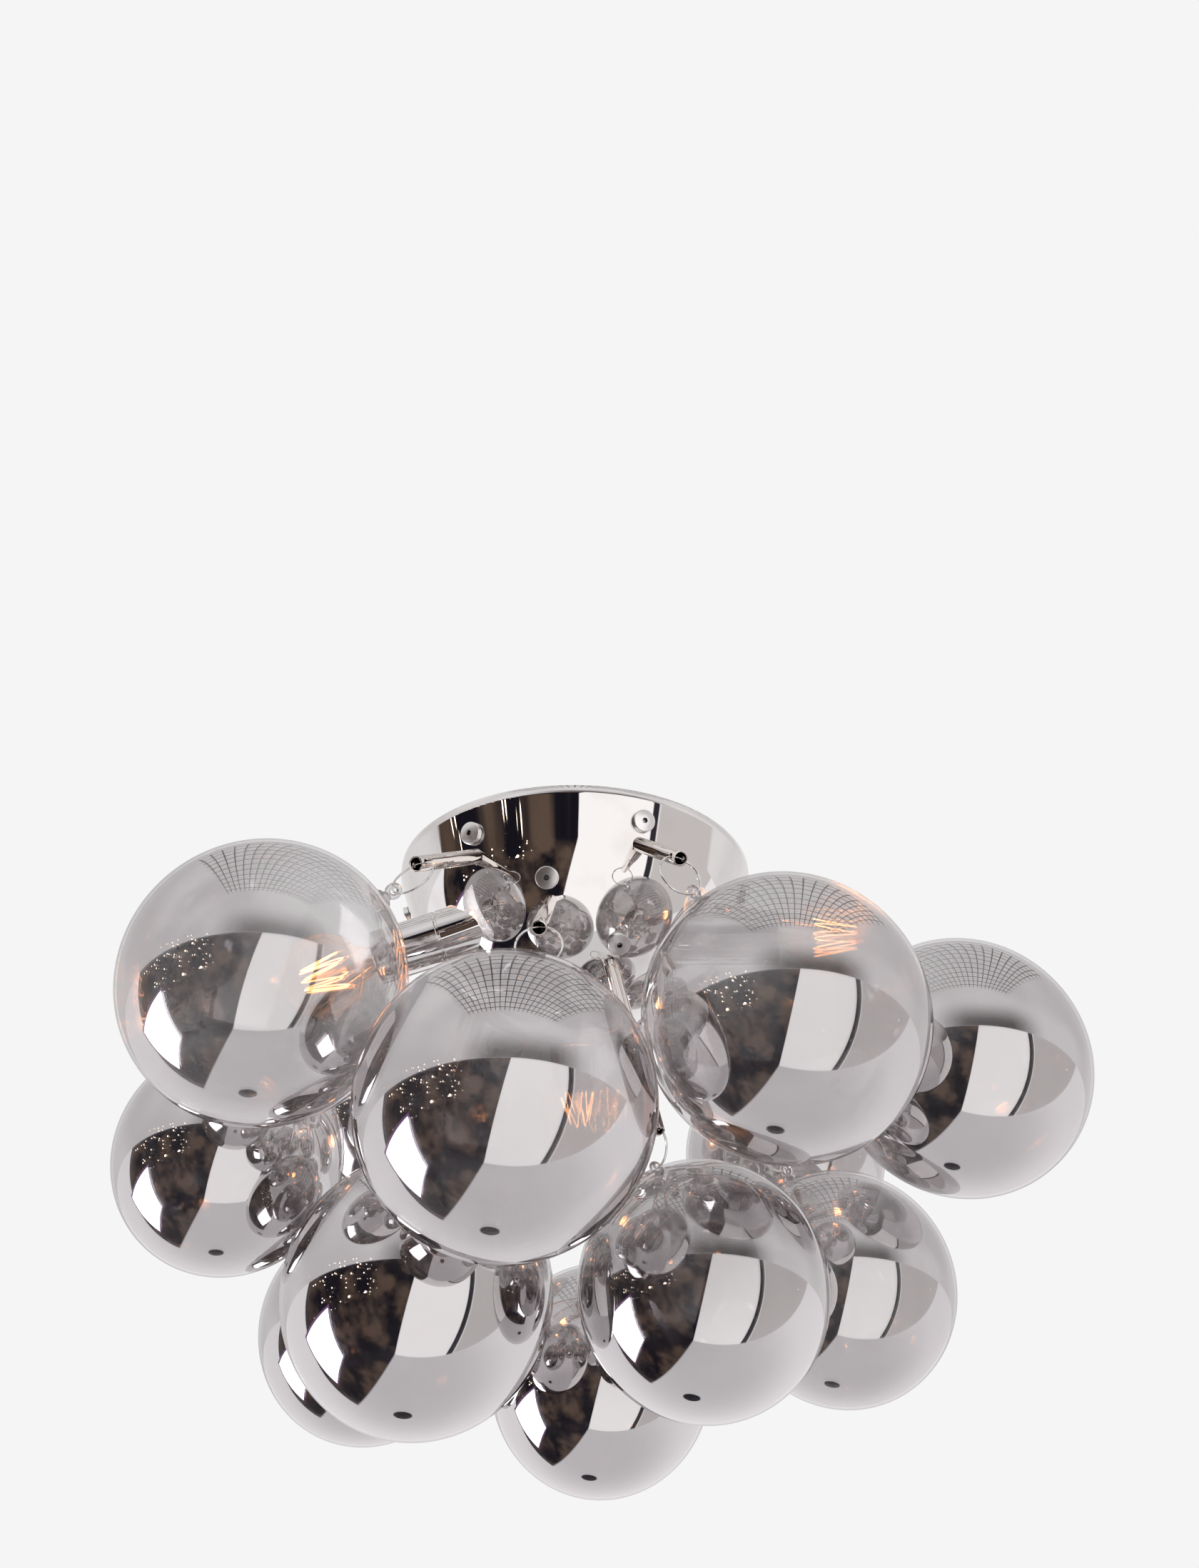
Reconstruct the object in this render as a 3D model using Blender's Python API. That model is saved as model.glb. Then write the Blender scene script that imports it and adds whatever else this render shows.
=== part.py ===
"""Ceiling light: a chrome bowl with twelve smoked glass globes that hang from short tubes.

Metres, +Z up. The origin is the centre of the ceiling plane that the bracket is screwed to, and
-Y is the front. Azimuth runs from the front towards +X, elevation is negative below the ceiling.
"""

import math
from dataclasses import dataclass

import bmesh
import bpy
from mathutils import Matrix, Vector

# Clearances, and the sides of round holes
FIT_GAP = 0.0003
CUT_OVERRUN = 0.004
FLAT_ANGLE = 0.05
SHARP_ANGLE = 35
HOLE_SIDES = 10
WIRE_WAY_SIDES = 8
HEX_SIDES = 6

# Canopy bowl: a ball shape whose wall runs straight on from WALL_TURN up to an upright rim
BOWL_RADIUS = 0.096
BOWL_WALL = 0.0015
WALL_TURN = 17
RIM_HEIGHT = 0.005
RIM_SHADOW_GAP = 0.0005
BOWL_RINGS = 8
BOWL_SEGMENTS = 40

# Ceiling bracket, a strap with an ear bent down at each end
STRAP_WIDTH = 0.022
STRAP_THICKNESS = 0.002
EAR_WIDTH = 0.010
EAR_DROP = 0.013
BRACKET_AZIMUTH = 112
CEILING_HOLE_RADIUS = 0.0025
CEILING_HOLE_REACH = 0.050
WIRE_HOLE_RADIUS = 0.005
WIRE_HOLE_REACH = 0.024

# Set screws through the rim
SET_SCREW_RADIUS = 0.002
SET_SCREW_LENGTH = 0.008
SET_SCREW_DROP = 0.008
SET_SCREW_SLOT_WIDTH = 0.0006
SET_SCREW_SLOT_DEPTH = 0.001

# Terminal block
BLOCK_LENGTH = 0.030
BLOCK_WIDTH = 0.016
BLOCK_HEIGHT = 0.012
BLOCK_REACH = 0.024
BLOCK_WIRE_RADIUS = 0.0018
BLOCK_WAYS = 3

# Arm tubes, in five stock lengths
TUBE_RADIUS = 0.004
TUBE_BORE_RADIUS = 0.0028
TUBE_INNER_LENGTH = 0.0075
CROSS_HOLE_RADIUS = 0.0016
CROSS_HOLE_FROM_END = 0.0035
TUBE_LENGTHS = {"short": 0.050, "medium": 0.062, "reach": 0.074, "long": 0.090, "extra": 0.106}
TUBE_SIDES = 8
CROSS_HOLE_SIDES = 8

# Clamp screw and inner foot of each tube
SCREW_SPACING = 0.0125
HEAD_RADIUS = 0.006
HEAD_HEIGHT = 0.0035
HEAD_EDGE = 0.0014
SHANK_RADIUS = 0.002
CROWN_SHARE = 0.7
HEX_RADIUS = 0.0014
HEX_DEPTH = 0.0018
HEAD_SIDES = 12
SHANK_SIDES = 8
FOOT_THICKNESS = 0.003
FOOT_HALF_LENGTH = 0.0118
FOOT_HALF_WIDTH = 0.0062

# Rings
RING_RADIUS = 0.0114
RING_WIRE_RADIUS = 0.0006
RING_SEGMENTS = 20
RING_WIRE_SIDES = 5

# Globes: radius at the equator and distance from the centre to the lug's hole
GLOBE_SIZES = {"large": (0.0685, 0.0755), "small": (0.0620, 0.0690)}
GLOBE_STRETCH_SHARE = 1.02
GLASS_WALL = 0.003
LUG_THICKNESS = 0.004
LUG_HALF_WIDTH = 0.0045
LUG_HOLE_RADIUS = 0.0015
LUG_ROOT_DEPTH = 0.0018
LUG_ARC_STEPS = 6
LUG_HOLE_SIDES = 8
VENT_RADIUS = 0.0015
VENT_ANGLE = 15
VENT_SIDES = 6
GLOBE_SEGMENTS = 16
GLOBE_RINGS = 10
HOLLOW_SEGMENTS = 8
HOLLOW_RINGS = 5

# Lampholders
SLEEVE_RADIUS = 0.0145
SLEEVE_WALL = 0.0012
SLEEVE_LENGTH = 0.042
SLEEVE_FLOOR = 0.014
SLEEVE_SIDES = 20
NIPPLE_RADIUS = 0.005
NIPPLE_BORE_RADIUS = 0.003
NIPPLE_INNER_LENGTH = 0.0075
NUT_RADIUS = 0.0085
NUT_THICKNESS = 0.003
INSERT_LENGTH = 0.023
INSERT_FLOOR = 0.002

# Lamps
LAMP_RADIUS = 0.0225
LAMP_CENTRE = 0.072
CAP_RADIUS = 0.0067
CAP_CONTACT_RADIUS = 0.0035
CAP_CONTACT_LENGTH = 0.002
CAP_LENGTH = 0.025
LAMP_NECK_RADIUS = 0.0112
LAMP_SEGMENTS = 14
LAMP_RINGS = 8


@dataclass(frozen=True)
class Arm:
    """One tube with its ring and globe; every angle is in degrees."""

    name: str
    globe: str
    root: tuple
    aim: tuple
    tube: str
    ring_lean: float
    lug_slide: float


# Rows of six, three and three tubes. ring_lean swings the ring down from the tube's line, and
# lug_slide is how far the globe's lug sits round the ring from its lowest point.
ARMS = (
    Arm("upper_front_left", "large", (-34, -18.5), (-29, -31), "medium", -35, 51),
    Arm("upper_front_right", "large", (22.5, -17.5), (28, -36), "short", -44, -34),
    Arm("upper_right", "large", (82, -18), (94, -8), "medium", -43, -7),
    Arm("upper_back_right", "small", (142, -18), (140, -16), "medium", -19, -9),
    Arm("upper_back_left", "small", (202, -18), (191, -2), "short", -40, -44),
    Arm("upper_left", "small", (262, -18), (258, -36), "reach", -25, 6),
    Arm("middle_front", "large", (-9, -37), (-4, -41), "medium", -41, 8),
    Arm("middle_right", "small", (112, -37), (128, -57), "long", -2, 1),
    Arm("middle_left", "small", (232, -37), (212, -50), "extra", -10, 1),
    Arm("lower_front", "small", (22, -56.5), (44, -73), "extra", -40, -47),
    Arm("lower_back", "small", (141, -57), (184, -52), "extra", -13, -8),
    Arm("lower_left", "large", (261, -57), (277, -75), "medium", -9, 5),
)


@dataclass(frozen=True)
class Lampholder:
    """One lampholder: where it stands on the bowl and where it points, in degrees."""

    name: str
    root: tuple
    aim: tuple


LAMPHOLDERS = (
    Lampholder("left", (-58, -37), (-100, -15)),
    Lampholder("right", (62, -37), (86, -2)),
    Lampholder("back", (182, -37), (177, -18)),
)


def direction(azimuth, elevation):
    """Unit vector of an azimuth and an elevation in degrees."""
    turn = math.radians(azimuth)
    rise = math.radians(elevation)
    return Vector((math.cos(rise) * math.sin(turn), -math.cos(rise) * math.cos(turn), math.sin(rise)))


def frame_along(origin, z_axis, x_hint):
    """Placement at a point with +Z along z_axis and +X as near x_hint as it can be."""
    z_dir = z_axis.normalized()
    y_dir = z_dir.cross(x_hint).normalized()
    x_dir = y_dir.cross(z_dir)
    placement = Matrix((x_dir, y_dir, z_dir)).transposed().to_4x4()
    placement.translation = origin
    return placement


def metal(name, colour, roughness):
    """Metal finish."""
    return finish(name, colour, roughness, 1.0, 1.0)


def finish(name, colour, roughness, metallic, alpha):
    """Principled material with one colour."""
    material = bpy.data.materials.new(name)
    material.use_nodes = True
    shader = material.node_tree.nodes["Principled BSDF"]
    shader.inputs["Base Color"].default_value = (*colour, 1.0)
    shader.inputs["Roughness"].default_value = roughness
    shader.inputs["Metallic"].default_value = metallic
    shader.inputs["Alpha"].default_value = alpha
    material.diffuse_color = (*colour, alpha)
    return material


def mesh_from(builder, placement=None):
    """Closed mesh from a bmesh builder, moved to its placement, faces pointing out."""
    shape = bmesh.new()
    builder(shape)
    if placement is not None:
        bmesh.ops.transform(shape, matrix=placement, verts=shape.verts)
    bmesh.ops.recalc_face_normals(shape, faces=shape.faces)
    bmesh.ops.triangulate(shape, faces=shape.faces)
    mesh = bpy.data.meshes.new("shape")
    shape.to_mesh(mesh)
    shape.free()
    return mesh


def turned(profile, segments, placement=None):
    """Solid of revolution about +Z from (radius, height) points that start and end on the axis."""

    def build(shape):
        rows = []
        for radius, height in profile:
            if radius == 0:
                rows.append([shape.verts.new((0, 0, height))])
                continue
            row = []
            for index in range(segments):
                turn = 2 * math.pi * index / segments
                row.append(shape.verts.new((radius * math.cos(turn), radius * math.sin(turn), height)))
            rows.append(row)
        for first, second in zip(rows, rows[1:]):
            for index in range(segments):
                after = (index + 1) % segments
                corners = [first[index % len(first)], first[after % len(first)]]
                corners += [second[after % len(second)], second[index % len(second)]]
                shape.faces.new(list(dict.fromkeys(corners)))

    return mesh_from(build, placement)


def rod(radius, low, high, sides, placement=None):
    """Plain round rod along +Z between two heights."""
    return turned([(0, low), (radius, low), (radius, high), (0, high)], sides, placement)


def block(low, high, placement=None):
    """Box between two corners."""

    def build(shape):
        bmesh.ops.create_cube(shape, size=1)
        spans = [high[axis] - low[axis] for axis in range(3)]
        middle = [(high[axis] + low[axis]) / 2 for axis in range(3)]
        bmesh.ops.scale(shape, vec=spans, verts=shape.verts)
        bmesh.ops.translate(shape, vec=middle, verts=shape.verts)

    return mesh_from(build, placement)


def ball(radius, rings, segments, placement=None):
    """Round ball."""
    profile = [(0, -radius)]
    for ring in range(1, rings):
        turn = math.pi * ring / rings
        profile.append((radius * math.sin(turn), -radius * math.cos(turn)))
    profile.append((0, radius))
    return turned(profile, segments, placement)


def combined(base, tool, operation):
    """Mesh that a Boolean makes from two closed meshes."""
    base_object = bpy.data.objects.new("base", base)
    tool_object = bpy.data.objects.new("tool", tool)
    for item in (base_object, tool_object):
        bpy.context.scene.collection.objects.link(item)
    change = base_object.modifiers.new("change", "BOOLEAN")
    change.object = tool_object
    change.operation = operation
    change.solver = "EXACT"
    bpy.context.view_layer.update()
    evaluated = base_object.evaluated_get(bpy.context.evaluated_depsgraph_get())
    result = bpy.data.meshes.new_from_object(evaluated)
    bpy.data.objects.remove(base_object, do_unlink=True)
    bpy.data.objects.remove(tool_object, do_unlink=True)
    shape = bmesh.new()
    shape.from_mesh(result)
    bmesh.ops.triangulate(shape, faces=shape.faces)
    shape.to_mesh(result)
    shape.free()
    return result


def slimmed(mesh):
    """Mesh without the needless edges that its Booleans left on flat faces."""
    shape = bmesh.new()
    shape.from_mesh(mesh)
    flat = math.radians(FLAT_ANGLE)
    bmesh.ops.dissolve_limit(shape, angle_limit=flat, verts=shape.verts, edges=shape.edges)
    bmesh.ops.triangulate(shape, faces=shape.faces)
    shape.to_mesh(mesh)
    shape.free()
    return mesh


def cut(base, *tools):
    """Base mesh less every tool."""
    for tool in tools:
        base = combined(base, tool, "DIFFERENCE")
    return base


def joined(base, *tools):
    """Base mesh and every tool as one body."""
    for tool in tools:
        base = combined(base, tool, "UNION")
    return base


def place(name, mesh, material, placement=None, parent=None, smooth=True):
    """Named object that shows a mesh in one material."""
    item = bpy.data.objects.new(name, mesh)
    bpy.context.scene.collection.objects.link(item)
    if not mesh.materials:
        mesh.materials.append(material)
    if smooth:
        mesh.shade_smooth()
        mesh.set_sharp_from_angle(angle=math.radians(SHARP_ANGLE))
    if placement is not None:
        item.matrix_world = placement
    if parent is not None:
        item.parent = parent
        item.matrix_parent_inverse = parent.matrix_world.inverted()
    bpy.context.view_layer.update()
    return item


def tube_frame(arm):
    """Placement at the bowl's outside with +Z along the tube and +X along the cross hole."""
    aim = direction(*arm.aim)
    level = aim.cross(Vector((0, 0, 1))).normalized()
    return frame_along(direction(*arm.root) * BOWL_RADIUS, aim, level)


def ring_frame(arm):
    """Placement at the middle of the cross hole: +X along it, -Z towards the ring's centre."""
    tube = tube_frame(arm)
    aim = tube.col[2].to_3d()
    level = tube.col[0].to_3d()
    hook = tube.translation + aim * (TUBE_LENGTHS[arm.tube] - CROSS_HOLE_FROM_END)
    hang = Matrix.Rotation(math.radians(arm.ring_lean), 3, level) @ aim
    return frame_along(hook, -hang, level)


def globe_frame(arm):
    """Placement at the lug's hole: +X along it, -Z towards the globe's centre."""
    ring = ring_frame(arm)
    level = ring.col[0].to_3d()
    hang = -ring.col[2].to_3d()
    slide = math.radians(arm.lug_slide)
    globe_way = hang * math.cos(slide) + level * math.sin(slide)
    pin_way = level * math.cos(slide) - hang * math.sin(slide)
    hook = ring.translation + (hang + globe_way) * RING_RADIUS
    return frame_along(hook, -globe_way, pin_way)


def straight_wall(radius, drop):
    """Distance from the axis to the straight part of a wall that is tangent to a ball."""
    turn = math.radians(WALL_TURN)
    return radius * math.cos(turn) + (radius * math.sin(turn) - drop) * math.tan(turn)


def screw_frame(arm):
    """Placement on the bowl's outside above a tube, with +Z pointing out along the clamp screw."""
    azimuth = arm.root[0]
    elevation = arm.root[1] + math.degrees(SCREW_SPACING / BOWL_RADIUS)
    if elevation < -WALL_TURN:
        return wall_frame(direction(azimuth, elevation), BOWL_RADIUS)
    drop = BOWL_RADIUS * math.sin(math.radians(-elevation))
    normal = direction(azimuth, -WALL_TURN)
    level = direction(azimuth, 0)
    spot = level * straight_wall(BOWL_RADIUS, drop) - Vector((0, 0, drop))
    return frame_along(spot, normal, Vector((0, 0, 1)).cross(normal))


def wall_frame(way, radius):
    """Placement on a sphere about the origin with +Z pointing out and +X level."""
    return frame_along(way * radius, way, Vector((0, 0, 1)).cross(way))


def holder_frame(holder):
    """Placement on the bowl's outside with +Z along the lampholder."""
    aim = direction(*holder.aim)
    return frame_along(direction(*holder.root) * BOWL_RADIUS, aim, Vector((0, 0, 1)))


def bracket_frame():
    """Placement at the origin with +X along the strap."""
    return Matrix.Rotation(math.radians(BRACKET_AZIMUTH - 90), 4, "Z")


def bowl_inside():
    """Least distance from the bowl's centre to the flats of its inner wall."""
    flat_turn = math.radians(90 - WALL_TURN) / (2 * BOWL_RINGS)
    flat_share = math.cos(flat_turn) * math.cos(math.pi / BOWL_SEGMENTS)
    return (BOWL_RADIUS - BOWL_WALL) * flat_share


def wall_profile(radius):
    """Points of the ball shaped part of a wall, from its lowest point up to WALL_TURN."""
    profile = [(0, -radius)]
    for step in range(1, BOWL_RINGS + 1):
        turn = math.radians(90 - (90 - WALL_TURN) * step / BOWL_RINGS)
        profile.append((radius * math.cos(turn), -radius * math.sin(turn)))
    return profile


def bowl_mesh():
    """Shell with every hole through its wall."""
    inner = BOWL_RADIUS - BOWL_WALL
    rim = straight_wall(BOWL_RADIUS, RIM_HEIGHT)
    outside = wall_profile(BOWL_RADIUS) + [(rim, -RIM_HEIGHT), (rim, -RIM_SHADOW_GAP)]
    turn = math.radians(WALL_TURN)
    inner_rim = rim - BOWL_WALL
    inner_drop = inner * math.sin(turn) - (inner_rim - inner * math.cos(turn)) / math.tan(turn)
    inside = wall_profile(inner) + [(inner_rim, -inner_drop), (inner_rim, -RIM_SHADOW_GAP)]
    shell = turned(outside + inside[::-1], BOWL_SEGMENTS)
    reach = BOWL_WALL + CUT_OVERRUN
    for arm in ARMS:
        tube_hole = rod(TUBE_RADIUS + FIT_GAP, -reach, reach, TUBE_SIDES, tube_frame(arm))
        screw_hole = rod(SHANK_RADIUS + FIT_GAP, -reach, reach, SHANK_SIDES, screw_frame(arm))
        shell = cut(shell, tube_hole, screw_hole)
    for holder in LAMPHOLDERS:
        way = direction(*holder.root)
        hole = rod(NIPPLE_RADIUS + FIT_GAP, -reach, reach, HOLE_SIDES, wall_frame(way, BOWL_RADIUS))
        shell = cut(shell, hole)
    for side in (1, -1):
        shell = cut(shell, set_screw_hole(side))
    return slimmed(shell)


def set_screw_frame(side):
    """Placement on the rim with +Z pointing out along a set screw."""
    out = bracket_frame().col[0].to_3d() * side
    rim = straight_wall(BOWL_RADIUS, SET_SCREW_DROP) * math.cos(math.pi / BOWL_SEGMENTS)
    spot = out * (rim - FIT_GAP) - Vector((0, 0, SET_SCREW_DROP))
    return frame_along(spot, out, Vector((0, 0, 1)))


def set_screw_hole(side):
    """Hole for a set screw, through the rim and the bracket's ear."""
    length = SET_SCREW_LENGTH + CUT_OVERRUN
    return rod(SET_SCREW_RADIUS + FIT_GAP, -length, CUT_OVERRUN, HOLE_SIDES, set_screw_frame(side))


def set_screw_mesh():
    """Headless screw with a slot in its outer end."""
    body = rod(SET_SCREW_RADIUS, -SET_SCREW_LENGTH, 0, HOLE_SIDES)
    half_slot = SET_SCREW_SLOT_WIDTH / 2
    low = (-SET_SCREW_RADIUS - CUT_OVERRUN, -half_slot, -SET_SCREW_SLOT_DEPTH)
    high = (SET_SCREW_RADIUS + CUT_OVERRUN, half_slot, CUT_OVERRUN)
    return cut(body, block(low, high))


def bracket_mesh():
    """Strap with a bent ear at each end, two ceiling holes and a wire hole."""
    half = STRAP_WIDTH / 2
    wall = straight_wall(bowl_inside(), EAR_DROP)
    end = math.sqrt(wall**2 - half**2) - FIT_GAP
    body = block((-end, -half, -STRAP_THICKNESS), (end, half, 0))
    for side in (1, -1):
        near = side * (end - STRAP_THICKNESS)
        low = (min(near, side * end), -EAR_WIDTH / 2, -EAR_DROP)
        high = (max(near, side * end), EAR_WIDTH / 2, -STRAP_THICKNESS / 2)
        body = joined(body, block(low, high))
    deep = STRAP_THICKNESS + CUT_OVERRUN
    for side in (1, -1):
        spot = Matrix.Translation((side * CEILING_HOLE_REACH, 0, 0))
        body = cut(body, rod(CEILING_HOLE_RADIUS, -deep, deep, HOLE_SIDES, spot))
    spot = Matrix.Translation((-WIRE_HOLE_REACH, 0, 0))
    body = cut(body, rod(WIRE_HOLE_RADIUS, -deep, deep, HOLE_SIDES, spot))
    body.transform(bracket_frame())
    return slimmed(cut(body, set_screw_hole(1), set_screw_hole(-1)))


def terminal_block_mesh():
    """Block with a wire way for each conductor."""
    top = -STRAP_THICKNESS - FIT_GAP
    low = (BLOCK_REACH - BLOCK_LENGTH / 2, -BLOCK_WIDTH / 2, top - BLOCK_HEIGHT)
    high = (BLOCK_REACH + BLOCK_LENGTH / 2, BLOCK_WIDTH / 2, top)
    body = block(low, high)
    pitch = BLOCK_LENGTH / BLOCK_WAYS
    for way in range(BLOCK_WAYS):
        along = low[0] + pitch * (way + 0.5)
        spot = Matrix.Translation((along, 0, top - BLOCK_HEIGHT / 2))
        across = spot @ Matrix.Rotation(math.pi / 2, 4, "X")
        reach = BLOCK_WIDTH / 2 + CUT_OVERRUN
        body = cut(body, rod(BLOCK_WIRE_RADIUS, -reach, reach, HOLE_SIDES, across))
    body.transform(bracket_frame())
    return body


def tube_mesh(arm):
    """Open tube with its inner foot, and the clamp screw that holds the foot to the bowl."""
    tube = tube_frame(arm)
    length = TUBE_LENGTHS[arm.tube]
    body = rod(TUBE_RADIUS, -TUBE_INNER_LENGTH, length, TUBE_SIDES, tube)
    corner = math.hypot(FOOT_HALF_LENGTH, FOOT_HALF_WIDTH)
    foot_top = math.sqrt(bowl_inside() ** 2 - corner**2) - FIT_GAP
    screw = screw_frame(arm)
    middle = (direction(*arm.root) + screw.translation.normalized()).normalized()
    foot_low = (-FOOT_HALF_WIDTH, -FOOT_HALF_LENGTH, foot_top - FOOT_THICKNESS)
    foot_high = (FOOT_HALF_WIDTH, FOOT_HALF_LENGTH, foot_top)
    foot = block(foot_low, foot_high, wall_frame(middle, 0))
    seat = FIT_GAP
    shank_low = foot_top - FOOT_THICKNESS / 2 - screw.translation.length
    shank = rod(SHANK_RADIUS, shank_low, seat + HEAD_EDGE, SHANK_SIDES, screw)
    crown = seat + HEAD_HEIGHT
    head_profile = [
        (0, seat),
        (HEAD_RADIUS, seat),
        (HEAD_RADIUS, seat + HEAD_EDGE),
        (HEAD_RADIUS * CROWN_SHARE, crown),
        (0, crown),
    ]
    head = turned(head_profile, HEAD_SIDES, screw)
    body = joined(body, foot, shank, head)
    bore = rod(TUBE_BORE_RADIUS, -TUBE_INNER_LENGTH - CUT_OVERRUN, length + CUT_OVERRUN, TUBE_SIDES, tube)
    ring = ring_frame(arm)
    across = frame_along(ring.translation, ring.col[0].to_3d(), tube.col[2].to_3d())
    half_facet = Matrix.Rotation(math.pi / CROSS_HOLE_SIDES, 4, "Z")
    reach = TUBE_RADIUS + CUT_OVERRUN
    cross_hole = rod(CROSS_HOLE_RADIUS, -reach, reach, CROSS_HOLE_SIDES, across @ half_facet)
    socket = rod(HEX_RADIUS, crown - HEX_DEPTH, crown + CUT_OVERRUN, HEX_SIDES, screw)
    return slimmed(cut(body, bore, cross_hole, socket))


def ring_mesh():
    """Wire ring that hangs down from the origin in the XZ plane."""

    def build(shape):
        rows = []
        for index in range(RING_SEGMENTS):
            turn = 2 * math.pi * (index + 0.5) / RING_SEGMENTS
            row = []
            for side in range(RING_WIRE_SIDES):
                bend = 2 * math.pi * side / RING_WIRE_SIDES
                reach = RING_RADIUS + RING_WIRE_RADIUS * math.cos(bend)
                height = reach * math.cos(turn) - RING_RADIUS
                row.append(shape.verts.new((reach * math.sin(turn), RING_WIRE_RADIUS * math.sin(bend), height)))
            rows.append(row)
        for index, row in enumerate(rows):
            after = rows[(index + 1) % RING_SEGMENTS]
            for side in range(RING_WIRE_SIDES):
                beside = (side + 1) % RING_WIRE_SIDES
                shape.faces.new((row[side], row[beside], after[beside], after[side]))

    return mesh_from(build)


def lug_mesh(low):
    """Flat lug with a round top about the origin, down to a height inside the glass."""
    outline = [(-LUG_HALF_WIDTH, low), (LUG_HALF_WIDTH, low)]
    for step in range(LUG_ARC_STEPS + 1):
        turn = math.pi * step / LUG_ARC_STEPS
        outline.append((LUG_HALF_WIDTH * math.cos(turn), LUG_HALF_WIDTH * math.sin(turn)))

    def build(shape):
        rows = []
        for side in (-LUG_THICKNESS / 2, LUG_THICKNESS / 2):
            rows.append([shape.verts.new((side, along, height)) for along, height in outline])
            shape.faces.new(rows[-1])
        for index in range(len(outline)):
            after = (index + 1) % len(outline)
            shape.faces.new((rows[0][index], rows[0][after], rows[1][after], rows[1][index]))

    return mesh_from(build)


def globe_mesh(radius, lug_reach):
    """Blown globe below its lug: the lug's hole is at the origin, and a small vent is beside it."""
    centre = Matrix.Translation((0, 0, -lug_reach))
    stretch = Matrix.Diagonal((1, 1, GLOBE_STRETCH_SHARE, 1))
    outside = ball(radius, GLOBE_RINGS, GLOBE_SEGMENTS, centre @ stretch)
    hollow = ball(radius - GLASS_WALL, HOLLOW_RINGS, HOLLOW_SEGMENTS, centre @ stretch)
    vent_way = Matrix.Rotation(math.radians(VENT_ANGLE), 4, "X")
    vent_low = radius - 2 * GLASS_WALL - CUT_OVERRUN
    vent = rod(VENT_RADIUS, vent_low, radius + CUT_OVERRUN, VENT_SIDES, centre @ vent_way)
    pole = radius * GLOBE_STRETCH_SHARE
    lug_low = pole - LUG_ROOT_DEPTH - lug_reach
    across = Matrix.Rotation(math.pi / 2, 4, "Y")
    reach = LUG_THICKNESS / 2 + CUT_OVERRUN
    lug_hole = rod(LUG_HOLE_RADIUS, -reach, reach, LUG_HOLE_SIDES, across)
    return slimmed(cut(joined(outside, lug_mesh(lug_low)), hollow, vent, lug_hole))


def sleeve_mesh(holder):
    """Sleeve with a base shaped to the bowl, a floor, and a nipple through the bowl's wall."""
    axis = holder_frame(holder)
    body = rod(SLEEVE_RADIUS, -2 * SLEEVE_RADIUS, SLEEVE_LENGTH, SLEEVE_SIDES, axis)
    clear = BOWL_RADIUS + FIT_GAP
    seat = turned(wall_profile(clear) + [(straight_wall(clear, 0), 0), (0, 0)], BOWL_SEGMENTS)
    way = direction(*holder.root)
    nipple_low = BOWL_RADIUS - NIPPLE_INNER_LENGTH
    nipple = rod(NIPPLE_RADIUS, nipple_low, BOWL_RADIUS + NIPPLE_RADIUS, HOLE_SIDES, wall_frame(way, 0))
    body = joined(cut(body, seat), nipple)
    inner = SLEEVE_RADIUS - SLEEVE_WALL
    cavity = rod(inner, SLEEVE_FLOOR, SLEEVE_LENGTH + CUT_OVERRUN, SLEEVE_SIDES, axis)
    wire_low = nipple_low - CUT_OVERRUN
    wire_high = BOWL_RADIUS + NIPPLE_BORE_RADIUS
    wire_in = rod(NIPPLE_BORE_RADIUS, wire_low, wire_high, WIRE_WAY_SIDES, wall_frame(way, 0))
    wire_out = rod(NIPPLE_BORE_RADIUS, 0, SLEEVE_FLOOR + CUT_OVERRUN, WIRE_WAY_SIDES, axis)
    return slimmed(cut(body, cavity, joined(wire_in, wire_out)))


def nut_mesh(holder):
    """Six sided nut on a nipple, inside the bowl."""
    way = direction(*holder.root)
    top = math.sqrt(bowl_inside() ** 2 - NUT_RADIUS**2) - FIT_GAP
    body = rod(NUT_RADIUS, top - NUT_THICKNESS, top, HEX_SIDES, wall_frame(way, 0))
    hole_low = top - NUT_THICKNESS - CUT_OVERRUN
    hole = rod(NIPPLE_RADIUS + FIT_GAP, hole_low, top + CUT_OVERRUN, HOLE_SIDES, wall_frame(way, 0))
    return cut(body, hole)


def insert_mesh():
    """Lampholder insert: a cup that the lamp's cap screws into."""
    outer = (SLEEVE_RADIUS - SLEEVE_WALL) * math.cos(math.pi / SLEEVE_SIDES) - FIT_GAP
    bore = CAP_RADIUS + FIT_GAP
    low = SLEEVE_FLOOR + FIT_GAP
    high = low + INSERT_LENGTH
    profile = [(0, low), (outer, low), (outer, high), (bore, high), (bore, low + INSERT_FLOOR)]
    profile.append((0, low + INSERT_FLOOR))
    return turned(profile, SLEEVE_SIDES)


def lamp_mesh():
    """Golf ball lamp: contact, cap, neck and bulb, along +Z from the lampholder's root."""
    low = SLEEVE_FLOOR + INSERT_FLOOR + 2 * FIT_GAP
    cap_low = low + CAP_CONTACT_LENGTH
    cap_high = low + CAP_LENGTH
    cap_radius = CAP_RADIUS
    profile = [(0, low), (CAP_CONTACT_RADIUS, low), (cap_radius, cap_low), (cap_radius, cap_high)]
    start = math.asin(LAMP_NECK_RADIUS / LAMP_RADIUS)
    for ring in range(LAMP_RINGS + 1):
        turn = start + (math.pi - start) * ring / LAMP_RINGS
        ring_radius = LAMP_RADIUS * math.sin(turn) if ring < LAMP_RINGS else 0
        profile.append((ring_radius, LAMP_CENTRE - LAMP_RADIUS * math.cos(turn)))
    return turned(profile, LAMP_SEGMENTS)


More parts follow.
